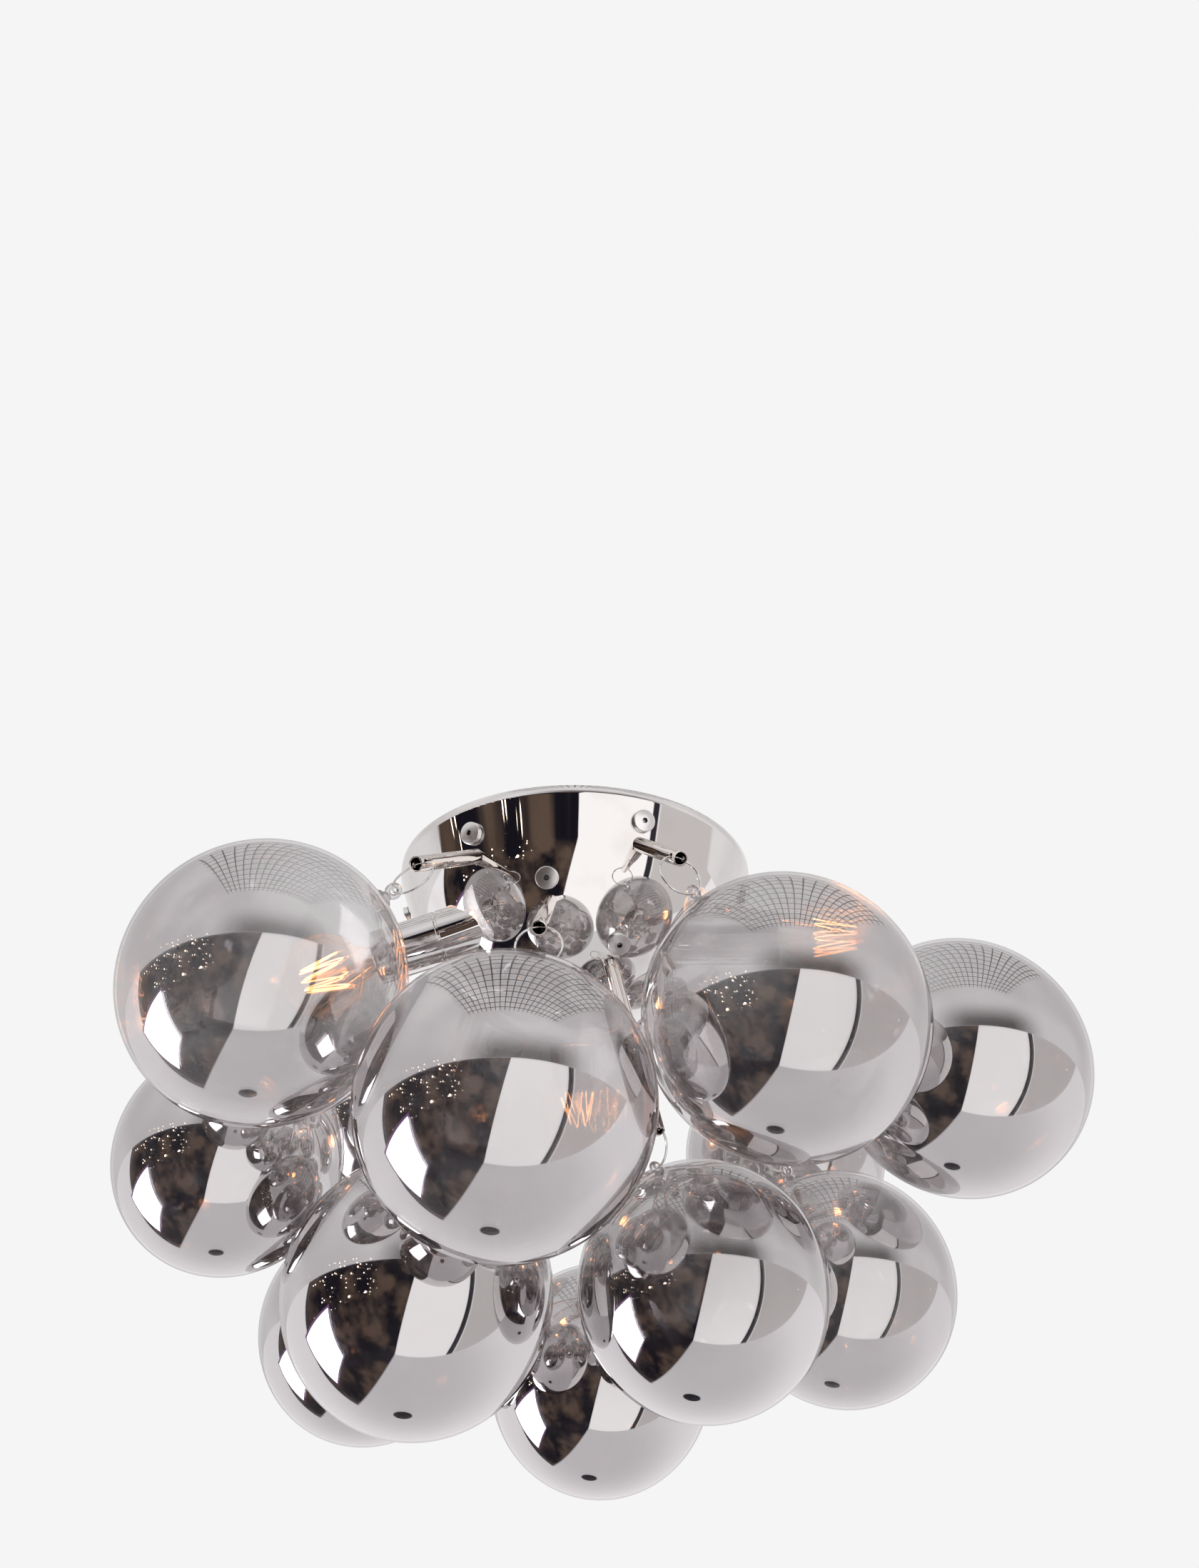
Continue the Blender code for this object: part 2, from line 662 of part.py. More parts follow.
def build_canopy(chrome, steel, plastic):
    """Bowl, bracket, set screws and terminal block."""
    bowl = place("canopy_bowl", bowl_mesh(), chrome)
    place("ceiling_bracket", bracket_mesh(), steel, smooth=False)
    place("terminal_block", terminal_block_mesh(), plastic, smooth=False)
    for name, side in (("set_screw_right", 1), ("set_screw_left", -1)):
        place(name, set_screw_mesh(), steel, set_screw_frame(side))
    return bowl


def build_arm(arm, globe_meshes, bowl, chrome, glass):
    """One tube with its ring and globe, each with its origin on its hinge."""
    tube = place("tube_" + arm.name, tube_mesh(arm), chrome, parent=bowl)
    ring = place("ring_" + arm.name, ring_mesh(), chrome, ring_frame(arm), tube)
    place("globe_" + arm.name, globe_meshes[arm.globe], glass, globe_frame(arm), ring)


def build_lampholder(holder, bowl, chrome, steel, plastic, bulb):
    """One sleeve with its nut, insert and lamp."""
    sleeve = place("lamp_sleeve_" + holder.name, sleeve_mesh(holder), chrome, parent=bowl)
    place("sleeve_nut_" + holder.name, nut_mesh(holder), steel, parent=sleeve)
    axis = holder_frame(holder)
    place("lamp_insert_" + holder.name, insert_mesh(), plastic, axis, sleeve)
    place("lamp_" + holder.name, lamp_mesh(), bulb, axis, sleeve)


def main():
    """Clear the scene and build the whole light."""
    for item in list(bpy.data.objects):
        bpy.data.objects.remove(item, do_unlink=True)
    chrome = metal("warm_chrome", (0.78, 0.75, 0.72), 0.06)
    steel = metal("zinc_steel", (0.62, 0.62, 0.60), 0.35)
    plastic = finish("ivory_plastic", (0.86, 0.84, 0.78), 0.5, 0.0, 1.0)
    glass = finish("smoked_glass", (0.34, 0.32, 0.33), 0.03, 0.4, 0.55)
    bulb = finish("lamp_glass", (0.95, 0.80, 0.60), 0.08, 0.0, 0.6)
    bowl = build_canopy(chrome, steel, plastic)
    globe_meshes = {}
    for size, (radius, lug_reach) in GLOBE_SIZES.items():
        globe_meshes[size] = globe_mesh(radius, lug_reach)
    for arm in ARMS:
        build_arm(arm, globe_meshes, bowl, chrome, glass)
    for holder in LAMPHOLDERS:
        build_lampholder(holder, bowl, chrome, steel, plastic, bulb)


if __name__ == "__main__":
    main()
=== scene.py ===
"""Ceiling light of smoked glass globes on a chrome bowl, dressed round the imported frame.

Metres, +Z up. The origin is the centre of the ceiling plane and -Y is the front. Azimuth runs
from the front towards +X, and elevation is negative below the ceiling.
"""

import logging
import math
from dataclasses import dataclass, field
from enum import Enum
from typing import Callable, Sequence

import bmesh
import bpy
from mathutils import Matrix, Vector


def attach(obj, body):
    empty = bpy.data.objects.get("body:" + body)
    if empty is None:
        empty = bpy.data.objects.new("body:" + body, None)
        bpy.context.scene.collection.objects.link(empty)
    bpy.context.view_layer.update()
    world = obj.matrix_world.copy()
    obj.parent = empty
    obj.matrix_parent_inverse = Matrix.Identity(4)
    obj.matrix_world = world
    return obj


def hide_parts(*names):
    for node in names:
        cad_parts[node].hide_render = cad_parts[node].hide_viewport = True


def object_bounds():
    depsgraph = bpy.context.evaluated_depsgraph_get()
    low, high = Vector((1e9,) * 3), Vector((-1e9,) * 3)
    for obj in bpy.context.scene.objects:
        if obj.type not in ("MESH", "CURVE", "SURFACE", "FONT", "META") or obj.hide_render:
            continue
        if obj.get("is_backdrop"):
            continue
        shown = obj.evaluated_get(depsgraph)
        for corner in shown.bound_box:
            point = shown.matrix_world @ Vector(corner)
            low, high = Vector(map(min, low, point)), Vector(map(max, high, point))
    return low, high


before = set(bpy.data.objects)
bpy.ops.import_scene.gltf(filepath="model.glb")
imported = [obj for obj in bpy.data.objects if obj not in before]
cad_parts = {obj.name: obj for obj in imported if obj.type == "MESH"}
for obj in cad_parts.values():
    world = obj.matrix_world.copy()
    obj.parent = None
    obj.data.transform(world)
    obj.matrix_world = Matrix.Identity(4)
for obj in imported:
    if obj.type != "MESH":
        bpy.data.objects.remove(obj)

Mesh = bpy.types.Mesh
Shape = bmesh.types.BMesh
Node = bpy.types.Node
Socket = bpy.types.NodeSocket
Tree = bpy.types.NodeTree
Pair = tuple[float, float]
Triple = tuple[float, float, float]
Colour = tuple[float, float, float]
Profile = list[Pair]

LOG = logging.getLogger("ceiling_light")
UP = Vector((0.0, 0.0, 1.0))
FRAME_BODY = "frame"
# Edges bent by more than this many degrees stay crisp, where a piece has no angle of its own
CREASE = 38.0


class GlobeSize(Enum):
    """The two sizes of globe: radius at the equator and reach from the centre to the lug's hole."""

    LARGE = (0.0685, 0.0755)
    SMALL = (0.0620, 0.0690)

    @property
    def radius(self) -> float:
        """Radius at the equator."""
        return self.value[0]

    @property
    def lug_reach(self) -> float:
        """Distance from the globe's centre to the lug's hole."""
        return self.value[1]


class TubeStock(Enum):
    """Stock lengths of the arm tubes."""

    SHORT = 0.050
    MEDIUM = 0.062
    REACH = 0.074
    LONG = 0.090
    EXTRA = 0.106


# Places


@dataclass(frozen=True)
class Arm:
    """Where one tube stands, how its ring and globe hang and how much its globe's coat mirrors.

    Every angle is in degrees, and root and aim are pairs of azimuth and elevation.
    """

    name: str
    globe: GlobeSize
    root: Pair
    aim: Pair
    tube: TubeStock
    ring_lean: float
    lug_slide: float
    coat: float


@dataclass(frozen=True)
class HolderPlace:
    """Where one lampholder stands on the bowl and where it points, in degrees."""

    name: str
    root: Pair
    aim: Pair


BIG, SMALL = GlobeSize.LARGE, GlobeSize.SMALL
ARMS = (
    Arm("upper_front_left", BIG, (-34, -18.5), (-29, -31), TubeStock.MEDIUM, -35, 51, 0.54),
    Arm("upper_front_right", BIG, (22.5, -17.5), (28, -36), TubeStock.SHORT, -44, -34, 0.66),
    Arm("upper_right", BIG, (82, -18), (94, -8), TubeStock.MEDIUM, -43, -7, 0.74),
    Arm("upper_back_right", SMALL, (142, -18), (140, -16), TubeStock.MEDIUM, -19, -9, 0.64),
    Arm("upper_back_left", SMALL, (202, -18), (191, -2), TubeStock.SHORT, -40, -44, 0.64),
    Arm("upper_left", SMALL, (262, -18), (258, -36), TubeStock.REACH, -25, 6, 0.74),
    Arm("middle_front", BIG, (-9, -37), (-4, -41), TubeStock.MEDIUM, -41, 8, 0.66),
    Arm("middle_right", SMALL, (112, -37), (128, -57), TubeStock.LONG, -2, 1, 0.66),
    Arm("middle_left", SMALL, (232, -37), (212, -50), TubeStock.EXTRA, -10, 1, 0.76),
    Arm("lower_front", SMALL, (22, -56.5), (44, -73), TubeStock.EXTRA, -40, -47, 0.86),
    Arm("lower_back", SMALL, (141, -57), (184, -52), TubeStock.EXTRA, -13, -8, 0.84),
    Arm("lower_left", BIG, (261, -57), (277, -75), TubeStock.MEDIUM, -9, 5, 0.82),
)
HOLDERS = (
    HolderPlace("left", (-58, -37), (-100, -15)),
    HolderPlace("right", (62, -37), (86, -2)),
    HolderPlace("back", (182, -37), (177, -18)),
)


def direction(angles: Pair) -> Vector:
    """Unit vector of an azimuth and an elevation in degrees."""
    turn, rise = math.radians(angles[0]), math.radians(angles[1])
    level = math.cos(rise)
    return Vector((level * math.sin(turn), -level * math.cos(turn), math.sin(rise)))


def frame_along(origin: Vector, z_axis: Vector, x_hint: Vector) -> Matrix:
    """Placement at a point.

    Args:
        origin: where the placement's origin lies.
        z_axis: direction of its +Z.
        x_hint: direction that its +X comes as near to as it can.

    Returns:
        The placement in the row frame.
    """
    z_dir = z_axis.normalized()
    y_dir = z_dir.cross(x_hint).normalized()
    placement = Matrix((y_dir.cross(z_dir), y_dir, z_dir)).transposed().to_4x4()
    placement.translation = origin
    return placement


# Mesh helpers


def mesh_from(name: str, build: Callable[[Shape], None], sharp: float = CREASE) -> Mesh:
    """Smooth shaded mesh from a builder.

    Args:
        name: name of the mesh.
        build: fills an empty bmesh.
        sharp: edges bent by more than this many degrees stay crisp.

    Returns:
        The mesh, with its faces pointing out.
    """
    shape = bmesh.new()
    build(shape)
    bmesh.ops.recalc_face_normals(shape, faces=shape.faces)
    mesh = bpy.data.meshes.new(name)
    shape.to_mesh(mesh)
    shape.free()
    mesh.shade_smooth()
    mesh.set_sharp_from_angle(angle=math.radians(sharp))
    return mesh


def add_turned(shape: Shape, profile: Profile, sides: int, closed: bool = False,
               placement: Matrix | None = None) -> None:
    """Adds a surface of revolution about +Z.

    Args:
        shape: bmesh that takes the faces.
        profile: (radius, height) points; a radius of 0 closes the surface at the axis.
        sides: number of steps round the axis.
        closed: joins the last point of the profile to the first.
        placement: moves the surface from the origin.
    """
    rows = []
    for radius, height in profile:
        count = sides if radius > 0 else 1
        row = []
        for index in range(count):
            turn = 2 * math.pi * index / sides
            spot = Vector((radius * math.cos(turn), radius * math.sin(turn), height))
            row.append(shape.verts.new(placement @ spot if placement else spot))
        rows.append(row)
    pairs = list(zip(rows, rows[1:]))
    if closed:
        pairs.append((rows[-1], rows[0]))
    for first, second in pairs:
        for index in range(sides):
            after = (index + 1) % sides
            corners = [first[index % len(first)], first[after % len(first)]]
            corners += [second[after % len(second)], second[index % len(second)]]
            shape.faces.new(list(dict.fromkeys(corners)))


def add_swept(shape: Shape, path: Sequence[Vector], radius: float, sides: int,
              closed: bool = False) -> None:
    """Adds a round wire along a path.

    Args:
        shape: bmesh that takes the faces.
        path: points along the middle of the wire.
        radius: radius of the wire.
        sides: number of steps round the wire.
        closed: joins the end of the wire to its start.
    """
    count = len(path)
    rows = []
    side_way = None
    for index, spot in enumerate(path):
        ahead = path[(index + 1) % count] if closed or index + 1 < count else spot
        behind = path[index - 1] if closed or index else spot
        along = (ahead - behind).normalized()
        if side_way is None:
            side_way = along.orthogonal().normalized()
        side_way = (side_way - along * side_way.dot(along)).normalized()
        other_way = along.cross(side_way)
        row = []
        for side in range(sides):
            turn = 2 * math.pi * side / sides
            reach = side_way * math.cos(turn) + other_way * math.sin(turn)
            row.append(shape.verts.new(spot + reach * radius))
        rows.append(row)
    pairs = list(zip(rows, rows[1:]))
    if closed:
        pairs.append((rows[-1], rows[0]))
    for first, second in pairs:
        for side in range(sides):
            after = (side + 1) % sides
            shape.faces.new((first[side], first[after], second[after], second[side]))
    if not closed:
        shape.faces.new(rows[0])
        shape.faces.new(rows[-1])


def turned(name: str, profile: Profile, sides: int, sharp: float = CREASE, closed: bool = False,
           placement: Matrix | None = None) -> Mesh:
    """Mesh of one surface of revolution.

    Args:
        name: name of the mesh.
        profile: (radius, height) points; a radius of 0 closes the surface at the axis.
        sides: number of steps round the axis.
        sharp: edges bent by more than this many degrees stay crisp.
        closed: joins the last point of the profile to the first.
        placement: moves the surface from the origin.

    Returns:
        The mesh.
    """
    return mesh_from(name, lambda shape: add_turned(shape, profile, sides, closed, placement), sharp)


def boolean_cut(base: Mesh, tool: Mesh, sharp: float = CREASE) -> Mesh:
    """Mesh of the base less the tool.

    Args:
        base: closed mesh that is cut.
        tool: closed mesh that cuts it.
        sharp: edges bent by more than this many degrees stay crisp.

    Returns:
        A new mesh.
    """
    items = [bpy.data.objects.new("cut_part", mesh) for mesh in (base, tool)]
    for item in items:
        bpy.context.scene.collection.objects.link(item)
    change = items[0].modifiers.new("cut", "BOOLEAN")
    change.object = items[1]
    change.operation = "DIFFERENCE"
    change.solver = "EXACT"
    bpy.context.view_layer.update()
    evaluated = items[0].evaluated_get(bpy.context.evaluated_depsgraph_get())
    result = bpy.data.meshes.new_from_object(evaluated)
    for item in items:
        bpy.data.objects.remove(item, do_unlink=True)
    result.name = base.name + "_cut"
    result.shade_smooth()
    result.set_sharp_from_angle(angle=math.radians(sharp))
    return result


def rounded(profile: Profile, radius: float, steps: int = 3) -> Profile:
    """Profile with a small round at every inner corner.

    Args:
        profile: (radius, height) points of an open profile.
        radius: size of the rounds.
        steps: points that each round takes, less one.

    Returns:
        The profile with its rounds.
    """
    points = [Vector(point) for point in profile]
    result: Profile = [tuple(points[0])]
    for before, corner, after in zip(points, points[1:], points[2:]):
        back, ahead = before - corner, after - corner
        reach = min(radius, back.length / 2, ahead.length / 2)
        start, end = corner + back.normalized() * reach, corner + ahead.normalized() * reach
        for step in range(steps + 1):
            share = step / steps
            first, second = start.lerp(corner, share), corner.lerp(end, share)
            result.append(tuple(first.lerp(second, share)))
    result.append(tuple(points[-1]))
    return result


# Node helpers


def rgba(colour: Colour) -> tuple[float, float, float, float]:
    """Colour with full alpha."""
    return (*colour, 1.0)


class Nodes:
    """Short words for adding and joining nodes in one tree."""

    def __init__(self, tree: Tree) -> None:
        """Keeps the tree."""
        self.tree = tree

    def add(self, kind: str, **settings: object) -> Node:
        """Adds a node of a kind and sets its properties."""
        node = self.tree.nodes.new(kind)
        for key, value in settings.items():
            setattr(node, key, value)
        return node

    def feed(self, socket: Socket, value: object) -> None:
        """Joins a socket to another one, or sets its plain value."""
        if isinstance(value, Socket):
            self.tree.links.new(value, socket)
        elif value is not None:
            socket.default_value = value

    def math(self, operation: str, first: object, second: object = None) -> Socket:
        """Result of a Math node."""
        node = self.add("ShaderNodeMath", operation=operation)
        self.feed(node.inputs[0], first)
        self.feed(node.inputs[1], second)
        return node.outputs[0]

    def product(self, *masks: object) -> Socket:
        """Product of masks, which is 1 where every mask is 1."""
        result = masks[0]
        for mask in masks[1:]:
            result = self.math("MULTIPLY", result, mask)
        return result

    def vector(self, operation: str, first: object, second: object) -> Node:
        """Vector Math node."""
        node = self.add("ShaderNodeVectorMath", operation=operation)
        self.feed(node.inputs[0], first)
        self.feed(node.inputs[1], second)
        return node

    def parts(self, vector: Socket) -> Sequence[Socket]:
        """The X, Y and Z of a vector."""
        node = self.add("ShaderNodeSeparateXYZ")
        self.feed(node.inputs[0], vector)
        return node.outputs

    def ramp(self, value: object, low: float, high: float, start: float = 0.0,
             end: float = 1.0) -> Socket:
        """Smooth step from start to end while the value goes from low to high."""
        node = self.add("ShaderNodeMapRange", interpolation_type="SMOOTHSTEP")
        for socket, number in zip(node.inputs, (value, low, high, start, end)):
            self.feed(socket, number)
        return node.outputs[0]

    def mix(self, factor: object, first: object, second: object) -> Socket:
        """Colour between two colours, each a plain one or a socket."""
        first_colour, second_colour, colour_result = 6, 7, 2
        node = self.add("ShaderNodeMix", data_type="RGBA")
        self.feed(node.inputs["Factor"], factor)
        for index, colour in ((first_colour, first), (second_colour, second)):
            self.feed(node.inputs[index], rgba(colour) if isinstance(colour, tuple) else colour)
        return node.outputs[colour_result]

    def noise(self, coordinates: object, scale: float, detail: float = 3.0) -> Socket:
        """Noise factor at a scale."""
        node = self.add("ShaderNodeTexNoise")
        self.feed(node.inputs["Vector"], coordinates)
        node.inputs["Scale"].default_value = scale
        node.inputs["Detail"].default_value = detail
        return node.outputs["Fac"]

    def facing(self, blend: float) -> Socket:
        """How far a face turns away from the eye, which is 1 at the limb."""
        node = self.add("ShaderNodeLayerWeight")
        node.inputs["Blend"].default_value = blend
        return node.outputs["Facing"]

    def blend(self, factor: Socket, usual: Node, other: Node) -> Socket:
        """Shader that goes from the usual one to the other while the factor goes from 0 to 1."""
        node = self.add("ShaderNodeMixShader")
        for socket, value in zip(node.inputs, (factor, usual.outputs[0], other.outputs[0])):
            self.feed(socket, value)
        return node.outputs[0]

    def lift(self, shader: Node, height: Socket, strength: float, distance: float) -> None:
        """Bumps a shader's surface.

        Args:
            shader: shader whose normal follows the bumps.
            height: height of the bumps.
            strength: strength of the bumps.
            distance: depth that a height of 1 stands for.
        """
        node = self.add("ShaderNodeBump")
        node.inputs["Strength"].default_value = strength
        node.inputs["Distance"].default_value = distance
        self.feed(node.inputs["Height"], height)
        self.feed(shader.inputs["Normal"], node.outputs["Normal"])


def effect_group(name: str, inputs: dict[str, float], outputs: Sequence[str],
                 fill: Callable[[Nodes, Node, Node], None]) -> Tree:
    """Shader node group with named float sockets.

    Args:
        name: name of the group.
        inputs: names of the inputs with their default values.
        outputs: names of the outputs.
        fill: adds the nodes between the group's input and output nodes.

    Returns:
        The group, made once for each name.
    """
    existing = bpy.data.node_groups.get(name)
    if existing:
        return existing
    group = bpy.data.node_groups.new(name, "ShaderNodeTree")
    group.interface.new_socket("Vector", in_out="INPUT", socket_type="NodeSocketVector")
    for key, value in inputs.items():
        socket = group.interface.new_socket(key, in_out="INPUT", socket_type="NodeSocketFloat")
        socket.default_value = value
    for key in outputs:
        group.interface.new_socket(key, in_out="OUTPUT", socket_type="NodeSocketFloat")
    words = Nodes(group)
    fill(words, words.add("NodeGroupInput"), words.add("NodeGroupOutput"))
    return group


def polish_marks() -> Tree:
    """Group for handled polish: cloudy wipe marks and hair scratches.

    Returns:
        A group whose outputs are the marks' Roughness share and Height.
    """
    wipe_scale, wipe_detail, wipe_range = 18.0, 4.0, (0.45, 0.75)
    hair_stretch, hair_detail, hair_range = (900.0, 60.0, 900.0), 2.0, (0.62, 0.70)

    def fill(words: Nodes, source: Node, sink: Node) -> None:
        cloud = words.noise(source.outputs["Vector"], wipe_scale, wipe_detail)
        stretched = words.vector("MULTIPLY", source.outputs["Vector"], hair_stretch)
        hair = words.noise(stretched.outputs[0], 1.0, hair_detail)
        haze = words.math("MULTIPLY", words.ramp(cloud, *wipe_range), source.outputs["Haze"])
        fine = words.math("MULTIPLY", words.ramp(hair, *hair_range), source.outputs["Scratches"])
        words.feed(sink.inputs["Roughness"], words.math("ADD", haze, fine))
        words.feed(sink.inputs["Height"], words.math("MULTIPLY", fine, -1.0))

    defaults = {"Haze": 0.03, "Scratches": 0.03}
    return effect_group("polish_marks", defaults, ("Roughness", "Height"), fill)


def dust_specks() -> Tree:
    """Group for fine dust that settles on faces that look up.

    Returns:
        A group whose output is the dust's Mask.
    """
    speck_scale, speck_detail, speck_range = 700.0, 2.0, (0.60, 0.72)
    film_scale, film_share = 30.0, 0.35
    upward_range = (0.35, 1.0)

    def fill(words: Nodes, source: Node, sink: Node) -> None:
        normal = words.add("ShaderNodeNewGeometry").outputs["Normal"]
        level = words.ramp(words.parts(normal)[2], *upward_range)
        specks = words.noise(source.outputs["Vector"], speck_scale, speck_detail)
        film = words.math("MULTIPLY", words.noise(source.outputs["Vector"], film_scale), film_share)
        both = words.math("ADD", words.ramp(specks, *speck_range), film)
        amount = words.math("MULTIPLY", both, source.outputs["Amount"])
        words.feed(sink.inputs["Mask"], words.math("MULTIPLY", amount, level))

    return effect_group("dust_specks", {"Amount": 0.3}, ("Mask",), fill)


def place_group(words: Nodes, group: Tree, coordinates: Socket, **values: float) -> Node:
    """Puts a group in a material.

    Args:
        words: helper of the material's tree.
        group: the group.
        coordinates: coordinates that the effect follows.
        values: the group's inputs.

    Returns:
        The group node.
    """
    node = words.add("ShaderNodeGroup", node_tree=group)
    words.feed(node.inputs["Vector"], coordinates)
    for key, value in values.items():
        node.inputs[key].default_value = value
    return node


# Finishes


@dataclass(frozen=True)
class Finish:
    """Common part of every finish: a material with one Principled shader."""

    name: str
    colour: Colour
    roughness: float

    def material(self) -> bpy.types.Material:
        """The material, made once for each name."""
        existing = bpy.data.materials.get(self.name)
        if existing:
            return existing
        material = bpy.data.materials.new(self.name)
        material.use_nodes = True
        material.diffuse_color = rgba(self.colour)
        words = Nodes(material.node_tree)
        shader = material.node_tree.nodes["Principled BSDF"]
        shader.inputs["Base Color"].default_value = rgba(self.colour)
        shader.inputs["Roughness"].default_value = self.roughness
        self.dress(words, shader, words.add("ShaderNodeTexCoord").outputs["Object"])
        return material

    def dress(self, words: Nodes, shader: Node, coordinates: Socket) -> None:
        """Adds what makes this finish; every kind of finish has its own."""


@dataclass(frozen=True)
class PolishedMetal(Finish):
    """Plated metal with wipe marks, hair scratches and a little dust.

    Where recess isn't 0, hollows that are about as deep as it is darken to a near black painted shade.
    """

    haze: float = 0.02
    scratches: float = 0.02
    scratch_bump: Pair = (0.04, 0.0002)
    dust: float = 0.15
    dust_roughness: float = 0.5
    stain: Colour = (0.60, 0.55, 0.50)
    stain_scale: float = 40.0
    stain_range: Pair = (0.5, 0.8)
    stain_share: float = 0.35
    recess: float = 0.0
    recess_range: Pair = (0.20, 0.66)
    recess_shade: Colour = (0.02, 0.02, 0.02)

    def dress(self, words: Nodes, shader: Node, coordinates: Socket) -> None:
        """Marks vary the roughness, dust and stains vary the colour, and painted shade darkens recesses."""
        shader.inputs["Metallic"].default_value = 1.0
        marks = place_group(words, polish_marks(), coordinates, Haze=self.haze,
                            Scratches=self.scratches)
        dust = place_group(words, dust_specks(), coordinates, Amount=self.dust)
        rough = words.math("ADD", marks.outputs["Roughness"], self.roughness)
        dusty = words.math("MULTIPLY", dust.outputs["Mask"], self.dust_roughness)
        words.feed(shader.inputs["Roughness"], words.math("ADD", rough, dusty))
        cloud = words.noise(coordinates, self.stain_scale)
        stained = words.ramp(cloud, *self.stain_range, 0.0, self.stain_share)
        colour = words.mix(stained, self.colour, self.stain)
        # Painted shade: ambient occlusion darkens hollows, bores and faces close to other parts, towards
        # near black
        if self.recess:
            hollow = words.add("ShaderNodeAmbientOcclusion")
            hollow.inputs["Distance"].default_value = self.recess
            deep = words.ramp(hollow.outputs["AO"], *self.recess_range, 1.0, 0.0)
            colour = words.mix(deep, colour, self.recess_shade)
        words.feed(shader.inputs["Base Color"], colour)
        words.lift(shader, marks.outputs["Height"], *self.scratch_bump)


@dataclass(frozen=True)
class MouldedPlastic(Finish):
    """Matt moulded plastic with a fine grain."""

    grain_scale: float = 1500.0
    grain_bump: Pair = (0.15, 0.0001)
    cloud_scale: float = 60.0
    cloud_range: Pair = (0.3, 0.8)
    cloud_shade: float = 0.88

    def dress(self, words: Nodes, shader: Node, coordinates: Socket) -> None:
        """Grain lifts the surface, and a slow cloud varies the colour."""
        cloud = words.ramp(words.noise(coordinates, self.cloud_scale), *self.cloud_range)
        darker = tuple(channel * self.cloud_shade for channel in self.colour)
        words.feed(shader.inputs["Base Color"], words.mix(cloud, self.colour, darker))
        words.lift(shader, words.noise(coordinates, self.grain_scale, 2.0), *self.grain_bump)


@dataclass(frozen=True)
class SmokedMirrorGlass(Finish):
    """Blown glass with a vapour coat: a smoked half mirror, as dense as the mesh's coat values say."""

    edge_colour: Colour = (0.07, 0.045, 0.07)
    edge_range: Pair = (0.81, 0.955)
    drift_scale: float = 22.0
    drift_share: float = 0.05
    limb_power: float = 3.0
    limb_share: float = 0.6
    haze: float = 0.008
    scratches: float = 0.004

    def dress(self, words: Nodes, shader: Node, coordinates: Socket) -> None:
        """Alpha is the share that the coat mirrors; it grows down the globe and at the limb."""
        shader.inputs["Metallic"].default_value = 1.0
        cloud = words.math("SUBTRACT", words.noise(coordinates, self.drift_scale, 2.0), 0.5)
        drift = words.math("MULTIPLY", cloud, self.drift_share)
        dense = words.add("ShaderNodeAttribute", attribute_name="coat").outputs["Fac"]
        coat = words.math("ADD", dense, drift)
        facing = words.facing(0.5)
        limb = words.math("MULTIPLY", words.math("POWER", facing, self.limb_power), self.limb_share)
        more = words.math("MULTIPLY", limb, words.math("SUBTRACT", 1.0, coat))
        words.feed(shader.inputs["Alpha"], words.math("ADD", coat, more))
        rim = words.ramp(facing, *self.edge_range)
        words.feed(shader.inputs["Base Color"], words.mix(rim, self.colour, self.edge_colour))
        marks = place_group(words, polish_marks(), coordinates, Haze=self.haze,
                            Scratches=self.scratches)
        rough = words.math("ADD", marks.outputs["Roughness"], self.roughness)
        words.feed(shader.inputs["Roughness"], rough)


@dataclass(frozen=True)
class ClearGlass(Finish):
    """Solid clear glass with a faint tint."""

    refraction: float = 1.5
    ripple_scale: float = 140.0
    ripple_bump: Pair = (0.1, 0.0003)

    def dress(self, words: Nodes, shader: Node, coordinates: Socket) -> None:
        """Glass carries light through and has faint ripples from the flame."""
        shader.inputs["Transmission Weight"].default_value = 1.0
        shader.inputs["IOR"].default_value = self.refraction
        words.lift(shader, words.noise(coordinates, self.ripple_scale, 2.0), *self.ripple_bump)


@dataclass(frozen=True)
class BulbGlass(Finish):
    """Thin clear bulb glass with a warm tint; veil and limb are how much of it shows."""

    veil: float = 0.04
    limb: float = 0.75
    blend: float = 0.35
    cloud_scale: float = 60.0
    cloud_light: float = 1.08

    def dress(self, words: Nodes, shader: Node, coordinates: Socket) -> None:
        """The bulb shows most at its limb."""
        alpha = words.ramp(words.facing(self.blend), 0.0, 1.0, self.veil, self.limb)
        words.feed(shader.inputs["Alpha"], alpha)
        cloud = words.noise(coordinates, self.cloud_scale, 2.0)
        lighter = tuple(min(1.0, channel * self.cloud_light) for channel in self.colour)
        words.feed(shader.inputs["Base Color"], words.mix(cloud, self.colour, lighter))


@dataclass(frozen=True)
class GlowingWire(Finish):
    """Filament at work."""

    strength: float = 22.0
    heat_scale: float = 90.0
    heat_range: Pair = (0.3, 0.7)
    cooler_shares: Colour = (0.9, 0.55, 0.35)

    def dress(self, words: Nodes, shader: Node, coordinates: Socket) -> None:
        """Hotter in some stretches of the wire than in others."""
        shader.inputs["Emission Strength"].default_value = self.strength
        heat = words.ramp(words.noise(coordinates, self.heat_scale, 1.0), *self.heat_range)
        cooler = tuple(channel * share for channel, share in zip(self.colour, self.cooler_shares))
        words.feed(shader.inputs["Emission Color"], words.mix(heat, cooler, self.colour))


